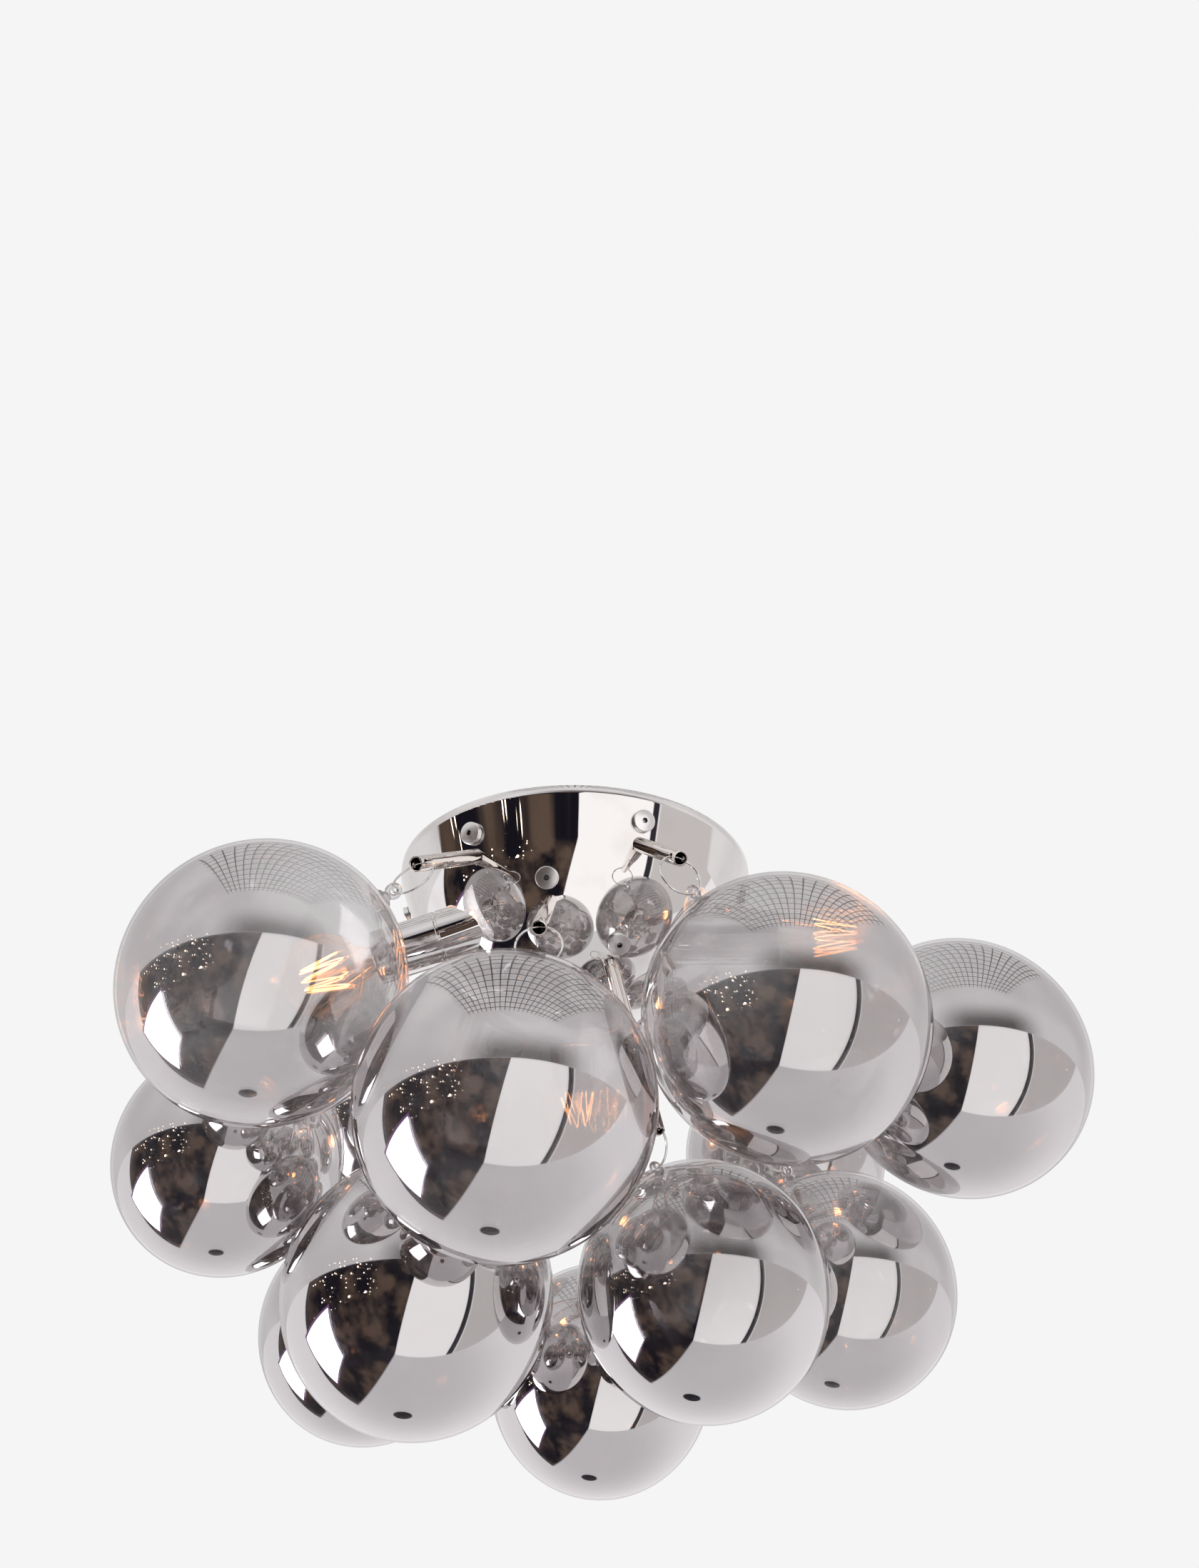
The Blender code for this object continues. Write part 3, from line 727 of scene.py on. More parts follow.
CHROME = PolishedMetal("warm_chrome", (0.82, 0.80, 0.79), 0.015)
# The recess values add painted shade: the tube bores and the tube feet by the bowl darken, and so do the
# screws' hexagon sockets
NICKEL = PolishedMetal("warm_nickel", (0.84, 0.78, 0.74), 0.04, haze=0.03, recess=0.02)
SATIN = PolishedMetal("satin_button", (0.92, 0.91, 0.90), 0.28, haze=0.05, recess=0.003)
WIRE = PolishedMetal("bright_wire", (0.86, 0.85, 0.84), 0.06)
ZINC = PolishedMetal("zinc_plate", (0.60, 0.61, 0.60), 0.30, haze=0.10, scratches=0.10, dust=0.4)
BRASS = PolishedMetal("lamp_cap", (0.78, 0.76, 0.70), 0.18, haze=0.06)
IVORY = MouldedPlastic("ivory_plastic", (0.80, 0.77, 0.69), 0.45)
SMOKED = SmokedMirrorGlass("half_mirror_glass", (0.73, 0.708, 0.712), 0.006)
LUG_GLASS = ClearGlass("lug_glass", (0.80, 0.79, 0.80), 0.02)
BULB = BulbGlass("bulb_glass", (0.98, 0.93, 0.86), 0.03)
FILAMENT = GlowingWire("filament", (1.0, 0.50, 0.20), 0.4)


def show(name: str, mesh: Mesh, finish: Finish, body: str,
         placement: Matrix | None = None, nodes: Sequence[str] = ()) -> None:
    """Shows one piece.

    Args:
        name: name of the piece.
        mesh: its mesh.
        finish: its finish.
        body: CAD body that it rides on.
        placement: its place in the row frame.
        nodes: CAD nodes that it stands for.
    """
    own = mesh.copy()
    own.name = name
    if placement is not None:
        own.transform(placement)
    own.materials.clear()
    own.materials.append(finish.material())
    piece = bpy.data.objects.new(name, own)
    bpy.context.scene.collection.objects.link(piece)
    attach(piece, body)
    if nodes:
        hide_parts(*nodes)
    LOG.info("piece %s rides on %s", name, body)


def dress_node(node: str, finish: Finish) -> None:
    """Gives a CAD node its finish."""
    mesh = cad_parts[node].data
    mesh.materials.clear()
    mesh.materials.append(finish.material())
    LOG.info("node %s wears %s", node, finish.name)


# Sub-assemblies


@dataclass(frozen=True)
class BowlShape:
    """The bowl's outside: a ball whose wall runs straight on from a turn up to an upright rim."""

    radius: float = 0.096
    wall: float = 0.0012
    turn: float = 17.0
    rim_height: float = 0.005
    rim_drop: float = 0.0006
    edge: float = 0.0002
    steps: int = 40
    sides: int = 144

    def straight(self, radius: float, drop: float) -> float:
        """Distance from the axis to the straight part of a wall at a drop below the ceiling."""
        turn = math.radians(self.turn)
        return radius * math.cos(turn) + (radius * math.sin(turn) - drop) * math.tan(turn)

    def ball_part(self, radius: float) -> Profile:
        """Ball shaped part of a wall, from its lowest point up to the turn."""
        profile: Profile = [(0, -radius)]
        for step in range(1, self.steps + 1):
            turn = math.radians(90 - (90 - self.turn) * step / self.steps)
            profile.append((radius * math.cos(turn), -radius * math.sin(turn)))
        return profile

    def profile(self) -> Profile:
        """Closed outline of the shell's wall from the outside of its lowest point to the inside."""
        rim, top, edge = self.straight(self.radius, self.rim_height), -self.rim_drop, self.edge
        inner, inner_rim = self.radius - self.wall, rim - self.wall
        turn = math.radians(self.turn)
        inner_drop = inner * math.sin(turn) - (inner_rim - inner * math.cos(turn)) / math.tan(turn)
        outside = self.ball_part(self.radius)
        outside += [(rim - edge, -self.rim_height - edge * 3), (rim, -self.rim_height)]
        outside += [(rim, top - edge * 2), (rim - edge, top - edge / 2), (rim - self.wall / 2, top)]
        inside = self.ball_part(inner) + [(inner_rim, -inner_drop), (inner_rim, top - edge)]
        return outside + inside[::-1]

    def screw_frame(self, root: Pair, spacing: float) -> Matrix:
        """Placement on the outside above a tube, with +Z pointing out.

        Args:
            root: azimuth and elevation of the tube's root.
            spacing: distance round the bowl from the root to the screw.

        Returns:
            The placement in the row frame.
        """
        azimuth, elevation = root[0], root[1] + math.degrees(spacing / self.radius)
        normal = direction((azimuth, min(elevation, -self.turn)))
        spot = direction((azimuth, elevation)) * self.radius
        if elevation > -self.turn:
            level = self.straight(self.radius, -spot.z)
            spot = direction((azimuth, 0)) * level + UP * spot.z
        return frame_along(spot, normal, UP.cross(normal))


BOWL = BowlShape()


@dataclass
class Canopy:
    """Spun bowl against the ceiling, with the CAD bracket, set screws and terminal block inside."""

    shell: BowlShape

    def bowl_mesh(self) -> Mesh:
        """Shell of the bowl."""
        return turned("bowl", self.shell.profile(), self.shell.sides)

    def build(self) -> None:
        """Builds the bowl and dresses the pieces inside it."""
        show("bowl_skin", self.bowl_mesh(), CHROME, FRAME_BODY, nodes=["canopy_bowl"])
        dress_node("ceiling_bracket", ZINC)
        dress_node("set_screw_left", ZINC)
        dress_node("set_screw_right", ZINC)
        dress_node("terminal_block", IVORY)


@dataclass
class GlobeShop:
    """Makes the blown globes, and their lugs once for each size.

    The lug's foot is a list of (radius, height above the globe's crown) points.
    """

    wall: float = 0.0016
    stretch_share: float = 1.02
    rings: int = 64
    sides: int = 96
    coat_full: float = 0.42
    coat_loss: float = 0.64
    lug_hole: float = 0.0016
    lug_wire: float = 0.0014
    lug_neck: float = 0.0022
    lug_edge: float = 0.0002
    lug_foot: tuple[Pair, ...] = ((0, -0.0003), (0.0052, -0.0002), (0.0042, 0.0008), (0.0028, 0.0016))
    lug_steps: int = 36
    wire_sides: int = 16
    foot_sides: int = 32
    lugs: dict[GlobeSize, Mesh] = field(default_factory=dict)

    def globe_mesh(self, size: GlobeSize, coat: float) -> Mesh:
        """Outer and inner skin of a globe, with its origin at the lug's hole.

        Args:
            size: size of the globe.
            coat: share that the mirror coat reflects below the equator.

        Returns:
            The mesh, with the coat's share at each point in its coat values.
        """

        def skin(radius: float) -> Profile:
            profile: Profile = []
            for ring in range(self.rings + 1):
                turn = math.pi * ring / self.rings
                across = radius * math.sin(turn) if 0 < ring < self.rings else 0
                profile.append((across, radius * self.stretch_share * math.cos(turn) - size.lug_reach))
            return profile

        def build(shape: Shape) -> None:
            add_turned(shape, skin(size.radius), self.sides)
            add_turned(shape, skin(size.radius - self.wall), self.sides)

        mesh = mesh_from("globe_" + size.name.lower(), build, sharp=180.0)
        values = mesh.attributes.new("coat", "FLOAT", "POINT")
        for index, vertex in enumerate(mesh.vertices):
            share = (vertex.co.z + size.lug_reach) / size.radius / 2 + 0.5
            rise = min(1.0, max(0.0, (share - self.coat_full) / (1 - self.coat_full)))
            thin = rise * rise * (3 - 2 * rise)
            values.data[index].value = coat * (1 - thin * self.coat_loss)
        return mesh

    def lug_mesh(self, size: GlobeSize) -> Mesh:
        """Pinched loop of clear glass on the crown of a globe."""
        if size in self.lugs:
            return self.lugs[size]
        crown = size.radius * self.stretch_share - size.lug_reach
        loop = self.lug_hole + self.lug_wire
        foot: Profile = [(radius, crown + height) for radius, height in self.lug_foot]
        foot += [(self.lug_neck, self.lug_edge - loop), (0, self.lug_edge * 2 - loop)]

        def build(shape: Shape) -> None:
            path = []
            for step in range(self.lug_steps):
                turn = 2 * math.pi * step / self.lug_steps
                path.append(Vector((0, math.sin(turn), math.cos(turn))) * loop)
            add_swept(shape, path, self.lug_wire, self.wire_sides, closed=True)
            add_turned(shape, foot, self.foot_sides)

        self.lugs[size] = mesh_from("lug_" + size.name.lower(), build, sharp=60.0)
        return self.lugs[size]


@dataclass
class ArmSet:
    """One arm: its tube with the clamp screw, its ring, and its globe with the lug.

    The ring's wire starts at a share of a turn from the tube, and takes nearly a full turn.
    """

    place: Arm
    tube_radius: float = 0.004
    bore_radius: float = 0.0031
    tube_inner: float = 0.0075
    tube_sides: int = 32
    edge: float = 0.0002
    hole_from_end: float = 0.0035
    hole_radius: float = 0.0014
    hole_sides: int = 24
    screw_spacing: float = 0.0125
    head_radius: float = 0.006
    head_height: float = 0.0035
    head_shoulder: float = 0.0010
    head_round: float = 0.0006
    head_steps: int = 6
    head_sides: int = 40
    shank_radius: float = 0.002
    shank_length: float = 0.004
    hex_radius: float = 0.0016
    hex_depth: float = 0.0018
    foot_size: Triple = (0.0124, 0.0236, 0.003)
    foot_edge: float = 0.0008
    foot_depth: float = 0.0046
    ring_radius: float = 0.0114
    ring_start: float = 0.21
    ring_turns: float = 0.992
    ring_steps: int = 72
    wire_radius: float = 0.0006
    wire_sides: int = 12

    def tube_frame(self) -> Matrix:
        """Placement at the bowl's outside with +Z along the tube."""
        aim = direction(self.place.aim)
        return frame_along(direction(self.place.root) * BOWL.radius, aim, aim.cross(UP))

    def ring_frame(self) -> Matrix:
        """Placement at the middle of the cross hole: +X along it, -Z towards the ring's centre."""
        tube = self.tube_frame()
        aim, level = tube.col[2].to_3d(), tube.col[0].to_3d()
        hook = tube.translation + aim * (self.place.tube.value - self.hole_from_end)
        hang = Matrix.Rotation(math.radians(self.place.ring_lean), 3, level) @ aim
        return frame_along(hook, -hang, level)

    def globe_frame(self) -> Matrix:
        """Placement at the lug's hole: +X along it, -Z towards the globe's centre."""
        ring = self.ring_frame()
        level, hang = ring.col[0].to_3d(), -ring.col[2].to_3d()
        slide = math.radians(self.place.lug_slide)
        globe_way = hang * math.cos(slide) + level * math.sin(slide)
        pin_way = level * math.cos(slide) - hang * math.sin(slide)
        spot = ring.translation + (hang + globe_way) * self.ring_radius
        return frame_along(spot, -globe_way, pin_way)

    def screw_frame(self) -> Matrix:
        """Placement of the clamp screw's head on the bowl."""
        return BOWL.screw_frame(self.place.root, self.screw_spacing)

    def foot_frame(self) -> Matrix:
        """Placement of the foot inside the bowl, between the tube and its screw."""
        above = self.screw_frame().translation.normalized()
        middle = (direction(self.place.root) + above).normalized()
        return frame_along(middle * (BOWL.radius - self.foot_depth), middle, UP.cross(middle))

    def tube_mesh(self) -> Mesh:
        """Open tube with soft edges and the cross hole for the ring."""
        length, low, edge = self.place.tube.value, -self.tube_inner, self.edge
        outer, inner = self.tube_radius, self.bore_radius
        profile = [(inner, low), (outer, low), (outer, length - edge)]
        profile += [(outer - edge / 3, length - edge / 3), (outer - edge, length)]
        profile += [(inner + edge, length), (inner, length - edge)]
        tube = turned("tube", profile, self.tube_sides, closed=True)
        across = Matrix.Translation((0, 0, length - self.hole_from_end))
        across = across @ Matrix.Rotation(math.pi / 2, 4, "Y")
        hole, reach = self.hole_radius, self.tube_radius * 2
        rod = [(0, -reach), (hole, -reach), (hole, reach), (0, reach)]
        return boolean_cut(tube, turned("hole", rod, self.hole_sides, placement=across))

    def screw_mesh(self) -> Mesh:
        """Button head with a hexagon socket, and its shank through the bowl."""
        head, top, edge = self.head_radius, self.head_height, self.edge
        shank, tip = self.shank_radius, -self.shank_length
        clear = 0.001
        socket, bottom, above = self.hex_radius, top - self.hex_depth, top + clear
        profile: Profile = [(0, tip), (shank, tip), (shank, 0), (head - edge, 0), (head, edge)]
        for step in range(self.head_steps + 1):
            turn = math.pi / 2 * step / self.head_steps
            across = head - self.head_round * (1 - math.cos(turn))
            profile.append((across, top - self.head_shoulder + self.head_round * math.sin(turn)))
        slope, flat = head * 0.6, socket * 1.2
        profile += [(slope, top - edge / 2), (flat, top), (0, top)]
        hexagon = [(0, bottom), (socket, bottom), (socket, above), (0, above)]
        return boolean_cut(turned("screw", profile, self.head_sides), turned("socket", hexagon, 6))

    def foot_mesh(self) -> Mesh:
        """Small plate inside the bowl that the tube and its screw pull tight."""

        def build(shape: Shape) -> None:
            bmesh.ops.create_cube(shape, size=1)
            bmesh.ops.scale(shape, vec=self.foot_size, verts=shape.verts)
            bmesh.ops.bevel(shape, geom=shape.edges[:], offset=self.foot_edge, segments=3,
                            affect="EDGES", profile=0.5)

        return mesh_from("foot", build, sharp=50.0)

    def ring_mesh(self) -> Mesh:
        """Bent wire ring whose ends meet beside the tube."""
        path = []
        for step in range(self.ring_steps):
            turn = 2 * math.pi * (self.ring_start + self.ring_turns * step / (self.ring_steps - 1))
            across, drop = math.sin(turn) * self.ring_radius, (math.cos(turn) - 1) * self.ring_radius
            path.append(Vector((across, 0, drop)))
        return mesh_from("ring", lambda shape: add_swept(shape, path, self.wire_radius, self.wire_sides))

    def build(self, globes: GlobeShop) -> None:
        """Builds the arm's pieces.

        Args:
            globes: makes the meshes of the globes and lugs.
        """
        name, size, hung = self.place.name, self.place.globe, self.globe_frame()
        ring_body, globe_body = "ring_body_" + name, "globe_body_" + name
        tube, ring, globe = "tube_" + name, "ring_" + name, "globe_" + name
        show("arm_" + name, self.tube_mesh(), NICKEL, FRAME_BODY, self.tube_frame(), [tube])
        show("screw_" + name, self.screw_mesh(), SATIN, FRAME_BODY, self.screw_frame())
        show("foot_" + name, self.foot_mesh(), ZINC, FRAME_BODY, self.foot_frame())
        show("loop_" + name, self.ring_mesh(), WIRE, ring_body, self.ring_frame(), [ring])
        ball = globes.globe_mesh(size, self.place.coat)
        show("ball_" + name, ball, SMOKED, globe_body, hung, [globe])
        show("lug_" + name, globes.lug_mesh(size), LUG_GLASS, globe_body, hung)


@dataclass
class LampSet:
    """One lampholder sleeve with its insert, and the golf ball lamp in it.

    Heights run along the sleeve from where its axis leaves the bowl.
    """

    place: HolderPlace
    sleeve_radius: float = 0.0145
    sleeve_wall: float = 0.0010
    sleeve_length: float = 0.042
    sleeve_floor: float = 0.014
    sleeve_lip: float = 0.0004
    sleeve_sides: int = 64
    groove_heights: Pair = (0.0045, 0.0330)
    groove_lead: float = 0.0001
    groove_depth: float = 0.0005
    groove_reach: float = 0.0014
    lamp_radius: float = 0.0225
    lamp_centre: float = 0.072
    lamp_steps: int = 32
    lamp_sides: int = 48
    neck_radius: float = 0.0105
    neck_tuck: float = 0.002
    contact_gap: float = 0.0026
    contact_radius: float = 0.0030
    contact_height: float = 0.0010
    cap_radius: float = 0.0064
    cap_sides: int = 40
    thread_root: float = 0.0060
    thread_crest: float = 0.0066
    thread_pitch: float = 0.0028
    thread_from_end: float = 0.003
    hairpins: int = 7
    hairpin_turn: float = 0.93
    filament_radius: float = 0.00032
    hook_radius: float = 0.00018
    post_foot: float = 0.0035
    post_waist: float = 0.0016
    post_tip: float = 0.0012

    def frame(self) -> Matrix:
        """Placement on the bowl's outside with +Z along the lampholder."""
        return frame_along(direction(self.place.root) * BOWL.radius, direction(self.place.aim), UP)

    def sleeve_mesh(self) -> Mesh:
        """Sleeve with a rolled mouth, two grooves and a base shaped to the bowl."""
        outer, inner = self.sleeve_radius, self.sleeve_radius - self.sleeve_wall
        mouth, floor, lip, depth = self.sleeve_length, self.sleeve_floor, self.sleeve_lip, self.groove_depth
        profile: Profile = [(0, -2 * outer), (outer - depth, -2 * outer)]
        for low in self.groove_heights:
            start, end = low + self.groove_lead, low + self.groove_reach
            profile += [(outer, low), (outer, start), (outer - depth, start + depth)]
            profile += [(outer - depth, end), (outer, end + depth)]
        profile += [(outer, mouth - lip * 1.5), (outer - lip, mouth), (inner + lip / 2, mouth)]
        profile += [(inner, mouth - lip), (inner, floor), (0, floor)]
        seat = BOWL.ball_part(BOWL.radius) + [(BOWL.straight(BOWL.radius, 0), 0), (0, 0)]
        tool = turned("seat", seat, BOWL.sides, placement=self.frame().inverted())
        return boolean_cut(turned("sleeve", profile, self.sleeve_sides), tool, sharp=30.0)

    def bulb_mesh(self) -> Mesh:
        """Thin bulb: a ball that narrows to the cap."""
        radius, neck, tuck = self.lamp_radius, self.neck_radius, self.neck_tuck
        mouth, steps = self.sleeve_length, self.lamp_steps
        start = math.asin(neck / radius)
        stem, waist = neck * 0.62, neck * 0.66
        profile: Profile = [(0, mouth - tuck), (stem, mouth - tuck), (waist, mouth + tuck)]
        for step in range(steps + 1):
            turn = start + (math.pi - start) * step / steps
            across = radius * math.sin(turn) if step < steps else 0
            profile.append((across, self.lamp_centre - radius * math.cos(turn)))
        return turned("bulb", profile, self.lamp_sides, sharp=60.0)

    def cap_mesh(self) -> Mesh:
        """Screw cap with its thread and the contact at its end."""
        low, contact, tall = self.sleeve_floor + self.contact_gap, self.contact_radius, self.contact_height
        root, crest, pitch = self.thread_root, self.thread_crest, self.thread_pitch
        flare, shoulder = 0.0004, 0.0024
        profile: Profile = [(0, low), (contact, low), (contact + flare, low + tall)]
        profile.append((root, low + shoulder))
        height = low + self.thread_from_end
        while height < self.sleeve_length - self.thread_from_end:
            profile += [(root, height), (crest, height + pitch / 4), (crest, height + pitch / 2)]
            height += pitch
        profile += [(self.cap_radius, self.sleeve_length), (0, self.sleeve_length)]
        return turned("cap", profile, self.cap_sides, sharp=25.0)

    def filament_mesh(self) -> Mesh:
        """Filament strung up and down round the post, as in a lamp with a cage of hairpins."""
        middle, spread, tall = self.lamp_centre, self.lamp_radius * 0.36, self.lamp_radius * 0.5
        steps, wire_sides, flare = 14, 6, 0.25

        def build(shape: Shape) -> None:
            path = []
            for step in range(self.hairpins * steps + 1):
                share = step / steps
                turn = 2 * math.pi * share / self.hairpins * self.hairpin_turn
                lift = math.cos(2 * math.pi * share)
                reach = spread * (1 - flare * lift)
                path.append(Vector((reach * math.cos(turn), reach * math.sin(turn), middle + tall * lift)))
            add_swept(shape, path, self.filament_radius, wire_sides)

        return mesh_from("filament_cage", build, sharp=60.0)

    def post_mesh(self) -> Mesh:
        """Glass post up the middle of the bulb with a hook wire for each hairpin."""
        low, top = self.sleeve_length, self.lamp_centre + self.lamp_radius * 0.55
        soft, waist, spread = 0.001, low + 0.012, self.lamp_radius * 0.27
        stem_sides, wire_sides, first = 16, 6, 0.02
        outline = [(0, low), (self.post_foot, low), (self.post_waist, waist), (self.post_tip, top)]
        stem = rounded(outline + [(0, top)], soft)
        hooks = UP * (top - soft)

        def build(shape: Shape) -> None:
            add_turned(shape, stem, stem_sides)
            for step in range(self.hairpins):
                turn = 2 * math.pi * (step + first) / self.hairpins * self.hairpin_turn
                out = Vector((math.cos(turn), math.sin(turn), 0)) * spread
                add_swept(shape, [hooks, hooks + out / 2, hooks + out], self.hook_radius, wire_sides)

        return mesh_from("posts", build, sharp=60.0)

    def build(self) -> None:
        """Builds the lampholder's pieces."""
        name, place = self.place.name, self.frame()
        sleeve, lamp = "lamp_sleeve_" + name, "lamp_" + name
        show("holder_" + name, self.sleeve_mesh(), CHROME, FRAME_BODY, place, [sleeve])
        show("bulb_" + name, self.bulb_mesh(), BULB, FRAME_BODY, place, [lamp])
        show("cap_" + name, self.cap_mesh(), BRASS, FRAME_BODY, place)
        show("filament_" + name, self.filament_mesh(), FILAMENT, FRAME_BODY, place)
        show("posts_" + name, self.post_mesh(), WIRE, FRAME_BODY, place)
        dress_node("lamp_insert_" + name, IVORY)
        dress_node("sleeve_nut_" + name, ZINC)


# Studio


@dataclass(frozen=True)
class RoomTones:
    """Colours of what the light's metal and glass mirror."""

    ground: Colour = (0.70, 0.685, 0.70)
    wall: Colour = (0.98, 0.96, 0.98)
    screen: Colour = (1.15, 1.13, 1.13)
    ceiling_dim: Colour = (0.70, 0.685, 0.69)
    ceiling_lit: Colour = (0.84, 0.825, 0.83)
    ceiling_front: Colour = (0.13, 0.12, 0.12)
    mesh_field: Colour = (0.80, 0.79, 0.79)
    mesh_wire: Colour = (0.05, 0.045, 0.045)
    dark_end: Colour = (0.010, 0.009, 0.014)
    dark_brown: Colour = (0.12, 0.082, 0.062)
    strip: Colour = (0.035, 0.033, 0.04)
    beyond_strip: Colour = (0.30, 0.26, 0.25)
    spot: Colour = (0.02, 0.02, 0.025)
    far_light: Colour = (1.0, 0.82, 0.66)
    window_frame: Colour = (0.22, 0.12, 0.26)
    window: Colour = (6.0, 6.0, 6.2)


@dataclass(frozen=True)
class SoftLamp:
    """Square soft lamp: name, place, width and power."""

    name: str
    spot: Triple
    size: float
    power: float


TONES = RoomTones()
SOFT_LAMPS = (
    SoftLamp("key", (-1.6, -1.8, 0.6), 1.4, 14.0),
    SoftLamp("fill", (1.8, -1.4, -0.4), 1.6, 9.0),
    SoftLamp("below", (0.2, -0.8, -1.6), 1.6, 8.0),
)


@dataclass
class MirroredRoom:
    """Pale studio whose dark end, white screen, window and ceiling mesh show in metal and glass.

    Each triple is the normal of a plane through the light: it points into what the plane bounds,
    across the strip, or at the spot. A pair is the lowest and highest value of a range, but the
    mesh's pitch and softness have a value across and one along. The mesh and the window are laid
    out where rays meet a flat ceiling and a flat wall at the left, 1 away.
    """

    words: Nodes
    tilt: float = 4.0
    horizon: float = 0.14
    soft: float = 0.008
    seam: Triple = (0.937, 0.073, -0.235)
    screen_foot: Triple = (0.088, -0.590, 0.243)
    dark_back: Triple = (-0.13, -0.79, -0.60)
    dark_foot: Triple = (-0.778, -0.302, 0.303)
    dark_soft: float = 0.012
    strip_way: Triple = (0.629, 0.769, 0.110)
    strip_range: Pair = (-0.035, 0.035)
    beyond_range: Pair = (0.03, 0.06)
    spot_way: Triple = (-0.117, 0.576, -0.808)
    spot_range: Pair = (0.9950, 0.9965)
    faint_share: float = 0.6
    cloud_scale: float = 1.6
    cloud_range: Pair = (0.3, 0.7)
    front_azimuth: Pair = (-0.3, 0.9)
    front_soft: float = 0.3
    front_height: Pair = (0.18, 0.55)
    brown_scale: float = 3.0
    brown_range: Pair = (0.42, 0.66)
    mesh_pitch: Pair = (0.066, 0.13)
    mesh_wire: Pair = (0.04, 0.10)
    mesh_across: Pair = (-0.55, 0.85)
    mesh_along: Pair = (-1.0, 0.45)
    mesh_soft: Pair = (0.02, 0.03)
    lights_azimuth: Pair = (-1.6, -0.55)
    lights_height: Pair = (-0.25, 0.20)
    window_height: Pair = (-0.86, -0.23)
    window_along: Pair = (-0.325, 0.31)
    window_slant: float = 0.35
    window_frame: float = 0.03

    def __post_init__(self) -> None:
        """Takes the ray's way apart, turned about X by the tilt."""
        words = self.words
        tilted = words.add("ShaderNodeVectorRotate", rotation_type="X_AXIS")
        words.feed(tilted.inputs["Vector"], words.add("ShaderNodeTexCoord").outputs["Generated"])
        tilted.inputs["Angle"].default_value = math.radians(self.tilt)
        self.way = tilted.outputs[0]
        self.x, self.y, self.z = words.parts(self.way)
        self.azimuth = words.math("ARCTAN2", self.x, words.math("MULTIPLY", self.y, -1.0))
        self.ceiling = words.ramp(self.z, self.horizon - self.soft, self.horizon + self.soft)
        self.below = words.math("SUBTRACT", 1.0, self.ceiling)
        self.screen = words.product(self.side(self.seam), self.side(self.screen_foot), self.below)
        self.colour = words.mix(words.ramp(self.z, -1.0, -0.2), TONES.ground, TONES.wall)

    def band(self, value: Socket, limits: Pair, soft: float) -> Socket:
        """Mask that is 1 between two values and fades over a soft edge at each."""
        low, high = limits
        rise = self.words.ramp(value, low - soft, low + soft)
        return self.words.product(rise, self.words.ramp(value, high - soft, high + soft, 1.0, 0.0))

    def along(self, way: Triple) -> Socket:
        """How far the ray goes along a way."""
        return self.words.vector("DOT_PRODUCT", self.way, way).outputs["Value"]

    def side(self, normal: Triple, soft: float = 0.006) -> Socket:
        """Mask that is 1 on the side of a plane that its normal points to."""
        return self.words.ramp(self.along(normal), -soft, soft)

    def paint(self, mask: Socket, colour: Colour | Socket) -> None:
        """Lays a colour over the room where a mask is 1."""
        self.colour = self.words.mix(mask, self.colour, colour)

    def paint_ceiling(self) -> None:
        """Cloudy pale ceiling, darker towards the front, with the mesh hung under it."""
        words = self.words
        cloud = words.ramp(words.noise(self.way, self.cloud_scale, 0.0), *self.cloud_range)
        high = words.mix(cloud, TONES.ceiling_dim, TONES.ceiling_lit)
        front = words.product(self.band(self.azimuth, self.front_azimuth, self.front_soft),
                              words.ramp(self.z, *self.front_height, 1.0, 0.0))
        self.paint(self.ceiling, words.mix(front, high, TONES.ceiling_front))
        over = [words.math("DIVIDE", part, self.z) for part in (self.x, self.y)]
        wires = []
        for way, pitch in zip(over, self.mesh_pitch):
            cell = words.math("DIVIDE", words.math("PINGPONG", way, pitch / 2), pitch)
            wires.append(words.ramp(cell, *self.mesh_wire, 1.0, 0.0))
        mesh = words.math("MAXIMUM", *wires)
        inside = words.product(self.band(over[0], self.mesh_across, self.mesh_soft[0]),
                               self.band(over[1], self.mesh_along, self.mesh_soft[1]), self.ceiling)
        self.paint(words.math("MULTIPLY", inside, self.faint_share), TONES.mesh_field)
        self.paint(words.product(mesh, inside), TONES.mesh_wire)

    def paint_dark_end(self) -> None:
        """Near black end with brown shapes, on the other side of the screen's seam."""
        words = self.words
        beside = tuple(-part for part in self.seam)
        dark = words.product(self.side(self.dark_back, self.dark_soft),
                             self.side(self.dark_foot, self.dark_soft), self.side(beside), self.below)
        browns = words.ramp(words.noise(self.way, self.brown_scale), *self.brown_range)
        self.paint(dark, words.mix(browns, TONES.dark_end, TONES.dark_brown))

    def paint_strip(self) -> None:
        """Dark upright strip in the screen, with a greyer stretch beyond it."""
        words = self.words
        across, right = self.along(self.strip_way), words.ramp(self.x, 0.0, 0.1)
        strip = words.product(self.band(across, self.strip_range, self.soft), self.screen, right)
        self.paint(strip, TONES.strip)
        beyond = words.product(words.ramp(across, *self.beyond_range), self.screen, right)
        self.paint(words.math("MULTIPLY", beyond, self.faint_share), TONES.beyond_strip)

    def paint_far_lights(self) -> None:
        """Small warm lights far off in the dark end, in a coarse and a fine scatter."""
        words = self.words
        chosen_range, inner_share = (0.56, 0.58), 0.7
        where = words.product(self.band(self.azimuth, self.lights_azimuth, 0.1),
                              self.band(self.z, self.lights_height, 0.04))
        for scale, size, power in ((12.0, 0.20, 8.0), (26.0, 0.24, 6.0)):
            cells = words.add("ShaderNodeTexVoronoi", feature="F1")
            words.feed(cells.inputs["Vector"], self.way)
            cells.inputs["Scale"].default_value = scale
            dot = words.ramp(cells.outputs["Distance"], size * inner_share, size, 1.0, 0.0)
            apart = words.add("ShaderNodeSeparateColor")
            words.feed(apart.inputs[0], cells.outputs["Color"])
            chosen = words.ramp(apart.outputs[0], *chosen_range)
            light = tuple(power * channel for channel in TONES.far_light)
            self.paint(words.product(dot, chosen, where), light)

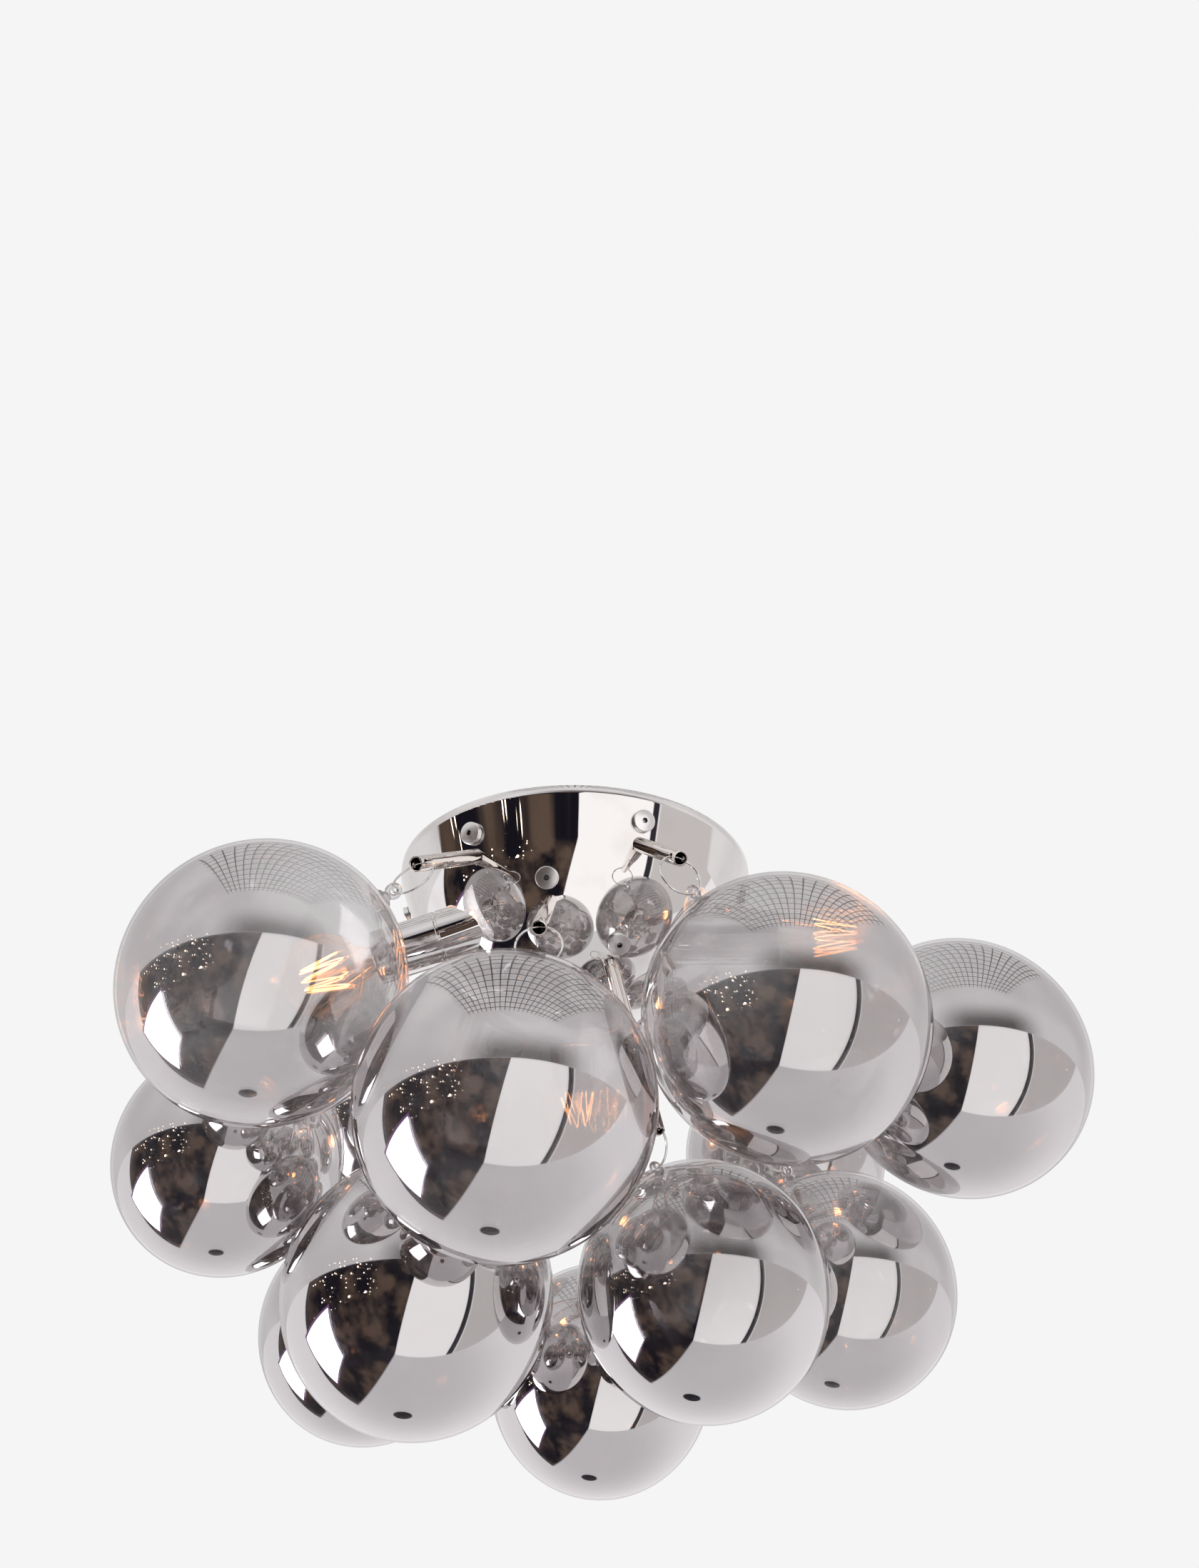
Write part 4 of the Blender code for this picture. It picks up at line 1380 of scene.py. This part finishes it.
    def paint_window(self) -> None:
        """Bright slanted window at the left in a dim frame."""
        words = self.words
        out = words.math("MAXIMUM", words.math("MULTIPLY", self.x, -1.0), 0.01)
        rise = words.math("DIVIDE", self.z, out)
        slant = words.math("MULTIPLY", rise, self.window_slant)
        across = words.math("ADD", words.math("DIVIDE", self.y, out), slant)
        for spread, tone in ((self.window_frame, TONES.window_frame), (0.0, TONES.window)):
            bands = []
            for value, (low, high) in ((rise, self.window_height), (across, self.window_along)):
                bands.append(self.band(value, (low - spread, high + spread), self.soft))
            self.paint(words.product(*bands), tone)

    def build(self) -> Socket:
        """Paints the room from its walls to its window and returns its colour."""
        self.paint(self.screen, TONES.screen)
        self.paint_ceiling()
        self.paint_dark_end()
        self.paint_strip()
        self.paint(self.words.ramp(self.along(self.spot_way), *self.spot_range), TONES.spot)
        self.paint_far_lights()
        self.paint_window()
        return self.colour


@dataclass
class Studio:
    """Floor, room and lamps round the light, and the camera below its front."""

    pale: float = 0.913
    floor_drop: float = 1.7
    floor_half: float = 7.0
    floor_glow: float = 0.9
    floor_roughness: float = 0.9
    lamp_target: Triple = (0.0, 0.0, -0.15)
    eye: Triple = (0.0139, -0.85, -0.4908)
    pitch: float = 33.15
    focal_px: float = 2400.0
    frame_px: float = 1680.0
    sensor: float = 36.0

    def camera(self) -> None:
        """Camera at the photograph's viewing angle."""
        data = bpy.data.cameras.new("eye")
        data.sensor_width = self.sensor
        data.sensor_fit = "HORIZONTAL"
        data.lens = self.sensor * self.focal_px / self.frame_px
        camera = bpy.data.objects.new("eye", data)
        camera.location = self.eye
        camera.rotation_euler = (math.radians(90 + self.pitch), 0, 0)
        bpy.context.scene.collection.objects.link(camera)
        bpy.context.scene.camera = camera

    def floor(self) -> None:
        """Plain pale floor, far below the light."""

        def build(shape: Shape) -> None:
            bmesh.ops.create_grid(shape, x_segments=8, y_segments=8, size=self.floor_half)

        floor = bpy.data.objects.new("floor", mesh_from("floor", build))
        floor.location = (0, 0, -self.floor_drop)
        floor.visible_glossy = False
        bpy.context.scene.collection.objects.link(floor)
        material = bpy.data.materials.new("pale_floor")
        material.use_nodes = True
        words = Nodes(material.node_tree)
        shader = material.node_tree.nodes["Principled BSDF"]
        shader.inputs["Base Color"].default_value = rgba((self.pale,) * 3)
        shader.inputs["Roughness"].default_value = self.floor_roughness
        glow = words.add("ShaderNodeEmission")
        glow.inputs["Color"].default_value = rgba((self.pale,) * 3)
        seen = words.add("ShaderNodeLightPath").outputs["Is Camera Ray"]
        mixed = words.blend(words.math("MULTIPLY", seen, self.floor_glow), shader, glow)
        words.feed(material.node_tree.nodes["Material Output"].inputs["Surface"], mixed)
        floor.data.materials.append(material)
        floor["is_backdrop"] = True

    def world(self) -> None:
        """Shows the mirrored room to reflections and a plain pale backdrop to everything else."""
        world = bpy.data.worlds.new("studio")
        bpy.context.scene.world = world
        world.use_nodes = True
        words = Nodes(world.node_tree)
        backdrop = words.add("ShaderNodeBackground")
        backdrop.inputs["Color"].default_value = rgba((self.pale,) * 3)
        room = words.add("ShaderNodeBackground")
        words.feed(room.inputs["Color"], MirroredRoom(words).build())
        mirrored = words.add("ShaderNodeLightPath").outputs["Is Glossy Ray"]
        mixed = words.blend(mirrored, backdrop, room)
        words.feed(world.node_tree.nodes["World Output"].inputs["Surface"], mixed)

    def lamps(self) -> None:
        """Soft lamps at the left, at the right and below, which reflections don't show."""
        for soft_lamp in SOFT_LAMPS:
            data = bpy.data.lights.new(soft_lamp.name, "AREA")
            data.size = soft_lamp.size
            data.energy = soft_lamp.power
            lamp = bpy.data.objects.new(soft_lamp.name, data)
            lamp.location = soft_lamp.spot
            aim = Vector(self.lamp_target) - Vector(soft_lamp.spot)
            lamp.rotation_euler = aim.to_track_quat("-Z", "Y").to_euler()
            lamp.visible_glossy = False
            bpy.context.scene.collection.objects.link(lamp)

    def build(self) -> None:
        """Builds the studio and sets the view."""
        scene = bpy.context.scene
        scene.view_settings.view_transform = "Standard"
        scene.cycles.transparent_max_bounces = 64
        scene.cycles.max_bounces = 24
        scene.cycles.glossy_bounces = 12
        self.camera()
        self.floor()
        self.world()
        self.lamps()


def corners(box: tuple[Vector, Vector]) -> list[list[float]]:
    """A box as plain lists of numbers."""
    return [list(corner) for corner in box]


def main() -> None:
    """Builds the light and its studio round the frame."""
    logging.basicConfig(level=logging.INFO)
    cad_box = corners(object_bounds())
    Studio().build()
    Canopy(BOWL).build()
    globes = GlobeShop()
    for arm in ARMS:
        ArmSet(arm).build(globes)
    for holder in HOLDERS:
        LampSet(holder).build()
    {"cad": cad_box, "visual": corners(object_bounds())}


if __name__ == "__main__":
    main()
